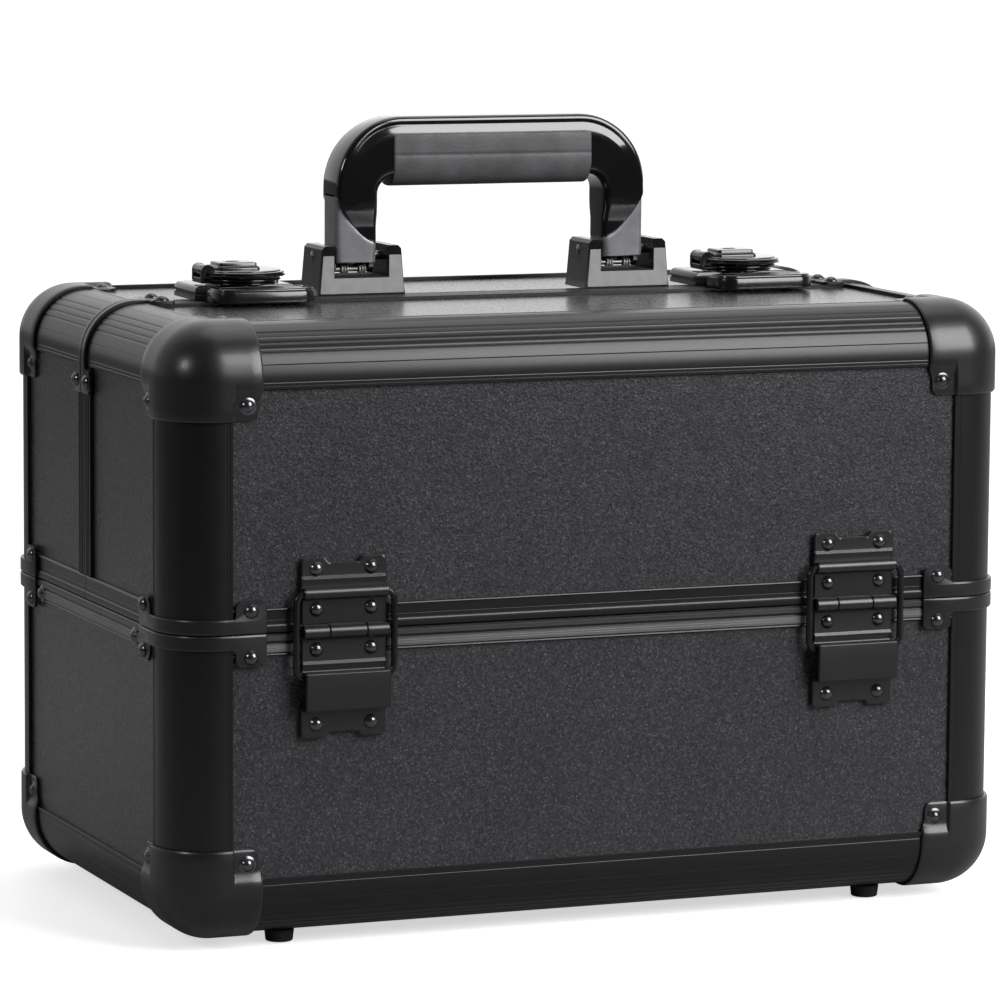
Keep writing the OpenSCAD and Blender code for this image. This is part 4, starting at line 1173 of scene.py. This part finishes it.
# Outline of a bracket's face plate: (x, z), with the corner radii
PLATE_OUTLINE = [(-18.7, 0.7), (12.0, 0.7), (19.35, 0.7), (18.75, 8.0), (17.9, 16.9),
                 (12.5, 16.9), (12.5, 7.3), (-12.5, 7.3), (-12.5, 16.9), (-17.4, 16.9),
                 (-18.1, 8.0)]
PLATE_RADII = [0.3, 0.05, 0.3, 0.1, 0.3, 0.2, 0.3, 0.3, 0.2, 0.3, 0.1]


def bow_rings(stations):
    """stations: (outer point, inner point, sag, half depth, share of the stepped rim)."""
    rings = []
    for outer, inner, sag, half, stepping in stations:
        outer, inner = np.array(outer), np.array(inner)
        length = np.linalg.norm(outer - inner)
        outward = (outer - inner) / length
        section = [(length - inset, half / 10 * (stepped * stepping + plain * (1 - stepping)))
                   for inset, stepped, plain in BOW_EDGE]
        flat = length - BOW_EDGE[-1][0] - BOW_INNER_R
        section += [(BOW_INNER_R + flat * j / 10, half) for j in range(9, 0, -1)]
        section += arc(BOW_INNER_R, half - BOW_INNER_R, BOW_INNER_R, BOW_INNER_R, pi / 2, pi, 8)
        section += [(0, 0)]
        section += [(a, -y) for a, y in section[-2:0:-1]]
        ring = []
        for a, y in section:
            point = inner + outward * a
            z = point[1] - 4 * sag * (a / length) * (1 - a / length)
            # the legs are thinner low down, to clear the brackets when folded
            thin = 1 if half < 8.1 else 0.8 + 0.2 * ease(z, 12.2, 21)
            ring.append((point[0], y * thin, z))
        rings.append(np.array(ring))
    return rings


def mirrored(stations):
    return [((-outer[0], outer[1]), (-inner[0], inner[1]), *others)
            for outer, inner, *others in stations[::-1]]


def handle_bow():
    leg_outer = BOW_H - BOW_R - JOINT_OUTER
    leg_inner = HOLE_H - HOLE_R - JOINT_INNER
    leg = [((-BOW_HALF, JOINT_OUTER + leg_outer * t), (-HOLE_HALF, JOINT_INNER + leg_inner * t),
            SAG * (1 - t), half, 0) for t, half in LEG_STATIONS]
    outer_x, inner_x = -BOW_HALF + BOW_R, -HOLE_HALF + HOLE_R
    bend = zip(arc(outer_x, BOW_H - BOW_R, BOW_R, BOW_R, pi, pi / 2, 25),
               arc(inner_x, HOLE_H - HOLE_R, HOLE_R, HOLE_R, pi, pi / 2, 25))
    leg += [(outer, inner, 0, 10, ease(k / 24, 0.3, 0.85)) for k, (outer, inner) in enumerate(bend)]
    top = [((outer_x * (1 - k / 6), BOW_H), (inner_x * (1 - k / 6), HOLE_H), 0, 10, 1)
           for k in range(1, 12)]
    parts = Parts()
    parts.add(loft(bow_rings(leg + top + mirrored(leg))), BOW_PLACE)
    piece("handle_bow", parts, "handle", HANDLE, "handle_frame", angle=24)


def handle_feet():
    foot = [((-BOW_HALF, FOOT_Z + (JOINT_OUTER - FOOT_Z) * t),
             (-HOLE_HALF, FOOT_Z + (JOINT_INNER - FOOT_Z) * t),
             SAG * min(t, 1), half, 0) for t, half in FOOT_STATIONS]
    parts = Parts()
    for stations in (foot, mirrored(foot)):
        parts.add(loft(bow_rings(stations)), BOW_PLACE)
    piece("handle_feet", parts, "handle", HANDLE_FOOT, "handle_frame", angle=30)


def handle_lugs():
    parts = Parts()
    barrel = rod(radius=3.6, half=9.4, chamfer=(0.3, 0.3), sides=40)
    lug = [(-2.6, -2.4), (2.6, -2.4)] + arc(0, -4.6, 2.6, -2.6, 0, pi, 13)
    for x in (-BRACKET_X, BRACKET_X):
        parts.add(rounded_block(x - 8.4, x + 8.4, 1.95, 2.6, 0.25, [(0, -7.1), (0, -2.3)], 2),
                  BOW_PLACE)
        parts.add(barrel, turn("y", 90), move(x), BOW_PLACE)
        for start in (-9.4, 7.6):
            parts.add(extrude(lug, x + start, x + start + 1.8, "x"), BOW_PLACE)
    piece("handle_spring_lugs", parts, "handle", HANDLE, "handle_frame", angle=30)


def handle_grip():
    """Sleeve with a flat upper step and a rounded belly below the bow."""
    section = GRIP_SECTION + [(-y, z) for y, z in GRIP_SECTION[-2::-1]]
    stations = [(-GRIP_HALF + inset, size) for inset, size in GRIP_END]
    stations += [(-20, 1.0), (20, 1.0)]
    stations += [(GRIP_HALF - inset, size) for inset, size in GRIP_END[::-1]]
    parts = Parts()
    parts.add(loft([layer([(y * size, GRIP_Z + (z - GRIP_Z) * size) for y, z in section], x, "x")
                    for x, size in stations]), BOW_PLACE)
    piece("handle_grip_sleeve", parts, "handle", GRIP, "handle_grip", angle=38)


def handle_brackets():
    """Gloss blocks with a pale U-shaped plate let into front and back."""
    from_node("handle_brackets", "handle_bracket_blocks", "rear_lid", BRACKET, bevel=0.9,
              segments=4)
    outline = closed_fillet(PLATE_OUTLINE, PLATE_RADII, 3)
    plates, pads, heads = Parts(), Parts(), Parts()
    for x in (-BRACKET_X, BRACKET_X):
        for face in (-1, 1):
            plates.add(extrude(outline, face * 10.9, face * 11.3, "y"), move(x, HANDLE_Y, LID_TOP))
        levels = [(0, LID_TOP + 7.3), (0, LID_TOP + 7.75), (0.15, LID_TOP + 7.9)]
        pads.add(rounded_block(x - 12.3, x + 12.3, HANDLE_Y - 10.7, HANDLE_Y + 10.7, 0.4,
                               levels, 2))
        for side in (-1, 1):
            heads.add(rivet(2.5, 0.7), turn("y", 90 * side),
                      move(x + side * 18.25, HANDLE_Y, PIVOT_Z))
    piece("handle_bracket_plates", plates, "rear_lid", BRACKET_FACE, "handle_brackets",
          angle=30, bevel=0.16)
    piece("handle_bracket_pads", pads, "rear_lid", FEET, "handle_brackets", angle=30)
    piece("handle_bracket_rivets", heads, "rear_lid", RIVET, "handle_pins", angle=50)
    from_node("handle_pins", "handle_pivot_pins", "rear_lid", STEEL, bevel=0.3)
    from_node("handle_springs", "handle_friction_springs", "handle", SPRING, bevel=0, angle=60)


# ---------------------------------------------------------------- panels, lining, trays
def base_fittings():
    for node in ("base_long_panels", "base_side_panels", "base_bottom_panel"):
        from_node(node, node.replace("_panel", "_board"), "base", PANEL, bevel=0.3)
    from_node("base_lining", "base_felt", "base", LINING, bevel=0.3)
    from_node("rubber_feet", "feet_turned", "base", FEET, bevel=0.5, segments=3)
    from_node("tray_brackets", "tray_bracket_plates", "base", ARM, bevel=0.3)


def lid_fittings(tag):
    body = tag + "_lid"
    for node, finish in ((f"{body}_{tag}_panel", PANEL), (body + "_top_panel", PANEL_TOP),
                         (body + "_side_panels", PANEL)):
        from_node(node, node.replace("_panel", "_board"), body, finish, bevel=0.3)
    from_node(body + "_lining", body + "_felt", body, LINING, bevel=0.3)
    for node, carrier in (("inner_arm", "arms_inner"), ("outer_arm", "arms_outer"),
                          ("lid_link", "links")):
        from_node(f"{tag}_{node}s", f"{tag}_{node}_straps", f"{tag}_{carrier}", ARM, bevel=0.3)
    for level in ("lower", "upper"):
        from_node(f"{tag}_{level}_tray", f"{tag}_{level}_tray_moulding", f"{tag}_tray_{level}",
                  TRAY, bevel=0.7, segments=3)


base_edges()
for lid in LIDS:
    lid_edges(*lid)
straps_and_corners()
rivets()
hinges()
latches()
handle_bow()
handle_feet()
handle_lugs()
handle_grip()
handle_brackets()
base_fittings()
for lid in LIDS:
    lid_fittings(lid[0])


# ---------------------------------------------------------------- camera, lights, world, floor
scene = bpy.context.scene


def add_camera(azimuth, elevation, roll, distance, target, lens):
    """Camera in front of the case; a negative azimuth (radians) stands to the left."""
    data = bpy.data.cameras.new("camera")
    camera = bpy.data.objects.new("camera", data)
    scene.collection.objects.link(camera)
    scene.camera = camera
    back = Vector((sin(azimuth) * cos(elevation), -cos(azimuth) * cos(elevation), sin(elevation)))
    right = (-back).cross(Vector((0, 0, 1))).normalized()
    up = right.cross(-back)
    rolled_right = right * cos(roll) + up * sin(roll)
    rolled_up = -right * sin(roll) + up * cos(roll)
    matrix = Matrix((rolled_right, rolled_up, back)).transposed().to_4x4()
    matrix.translation = Vector(target) + back * distance
    camera.matrix_world = matrix
    data.lens = lens
    data.sensor_width = 36
    data.clip_start, data.clip_end = 0.05, 100


def around(azimuth, elevation, distance):
    """Point round the case; azimuth (degrees) is 0 in front and grows to the right."""
    azimuth, elevation = math.radians(azimuth), math.radians(elevation)
    return (distance * sin(azimuth) * cos(elevation), -distance * cos(azimuth) * cos(elevation),
            0.12 + distance * sin(elevation))


def add_light(name, location, target_z, size, power):
    """Area light of size (x, y) aimed at a point above the origin."""
    data = bpy.data.lights.new(name, "AREA")
    data.energy = power
    data.shape = "RECTANGLE"
    data.size, data.size_y = size
    ob = bpy.data.objects.new(name, data)
    scene.collection.objects.link(ob)
    ob.location = location
    aim = Vector((0, 0, target_z)) - Vector(location)
    ob.rotation_euler = aim.to_track_quat("-Z", "Y").to_euler()
    ob.visible_camera = False


def add_world():
    """White to the camera; other rays see a studio, brighter to the rear and to the right."""
    world = bpy.data.worlds.new("studio")
    scene.world = world
    sky = Nodes(world)
    out = sky.add("OutputWorld")
    studio = sky.add("Background", {"Strength": 0.95})
    backdrop = sky.add("Background", {"Color": rgba(1), "Strength": 1.1})
    chooser = sky.add("MixShader")
    sky.link(sky.add("LightPath"), "Is Camera Ray", chooser, 0)
    sky.link(studio, 0, chooser, 1)
    sky.link(backdrop, 0, chooser, 2)
    sky.link(chooser, 0, out, 0)
    axes = sky.add("SeparateXYZ")
    sky.link(sky.add("TexCoord"), "Generated", axes, 0)
    # y from -1..1 to 0..1
    depth = sky.add("Math", {1: 0.5, 2: 0.5}, operation="MULTIPLY_ADD")
    sky.link(axes, "Y", depth, 0)
    shade = sky.ramp(depth, 0, [(0.04, (0.02, 0.02, 0.021)), (0.45, 0.10), (0.8, 1)])
    sideways = sky.map_range(axes, "X", span=(-0.5, 0.42), to=(0.5, 1.45))
    sky.link(sky.multiply(shade, sky.grey(sideways)), MIX_COLOR, studio, "Color")


def add_floor():
    """Pale to the camera; other rays see a floor with painted shade, darker to the front and to the
    left.
    """
    half = 30.0
    me = bpy.data.meshes.new("floor")
    me.from_pydata([(-half, -half, 0), (half, -half, 0), (half, half, 0), (-half, half, 0)], [],
                   [(0, 1, 2, 3)])
    floor = bpy.data.objects.new("floor", me)
    scene.collection.objects.link(floor)
    floor.location.z = -0.0003
    mat = Surface("floor_pale", rough=0.6, specular=0.2)
    clouds = mat.noise(scale=3, detail=3)
    mat.drive("Base Color", mat.ramp(clouds, "Fac", [(0.3, 0.93), (0.7, 0.96)]))
    mat.shader.inputs["Emission Color"].default_value = rgba(1)
    mat.shader.inputs["Emission Strength"].default_value = 0.62
    # painted shade: the colour other rays see darkens to the front and to the left
    unseen = mat.add("BsdfDiffuse")
    axes = mat.add("SeparateXYZ")
    mat.link(mat.coords, "Object", axes, 0)
    painted_shade_by_depth = mat.map_range(axes, "Y", span=(-0.9, 0.3), to=(0.05, 0.62))
    painted_shade_by_side = mat.map_range(axes, "X", span=(-1.1, 0.1), to=(0.4, 1.0))
    product = mat.add("Math", operation="MULTIPLY")
    mat.link(painted_shade_by_depth, 0, product, 0)
    mat.link(painted_shade_by_side, 0, product, 1)
    mat.link(mat.grey(product), 0, unseen, "Color")
    chooser = mat.add("MixShader")
    mat.link(mat.add("LightPath"), "Is Camera Ray", chooser, 0)
    mat.link(unseen, 0, chooser, 1)
    mat.link(mat.shader, 0, chooser, 2)
    mat.link(chooser, 0, mat.out, "Surface")
    me.materials.append(mat.material)


add_camera(azimuth=-0.386, elevation=0.128, roll=0.007, distance=2.3016,
           target=(0.00098, 0, 0.1638), lens=190.8642857)
scene.view_settings.view_transform = "Standard"
add_light("soft_left", around(-68, 27, 1.8), target_z=0.14, size=(0.36, 0.36), power=4.1)
add_light("soft_right", around(34, 30, 2.1), target_z=0.14, size=(1.2, 1.4), power=46)
add_light("soft_top", (0.35, 0.25, 2.0), target_z=0.15, size=(1.1, 1.1), power=3.5)
add_world()
add_floor()
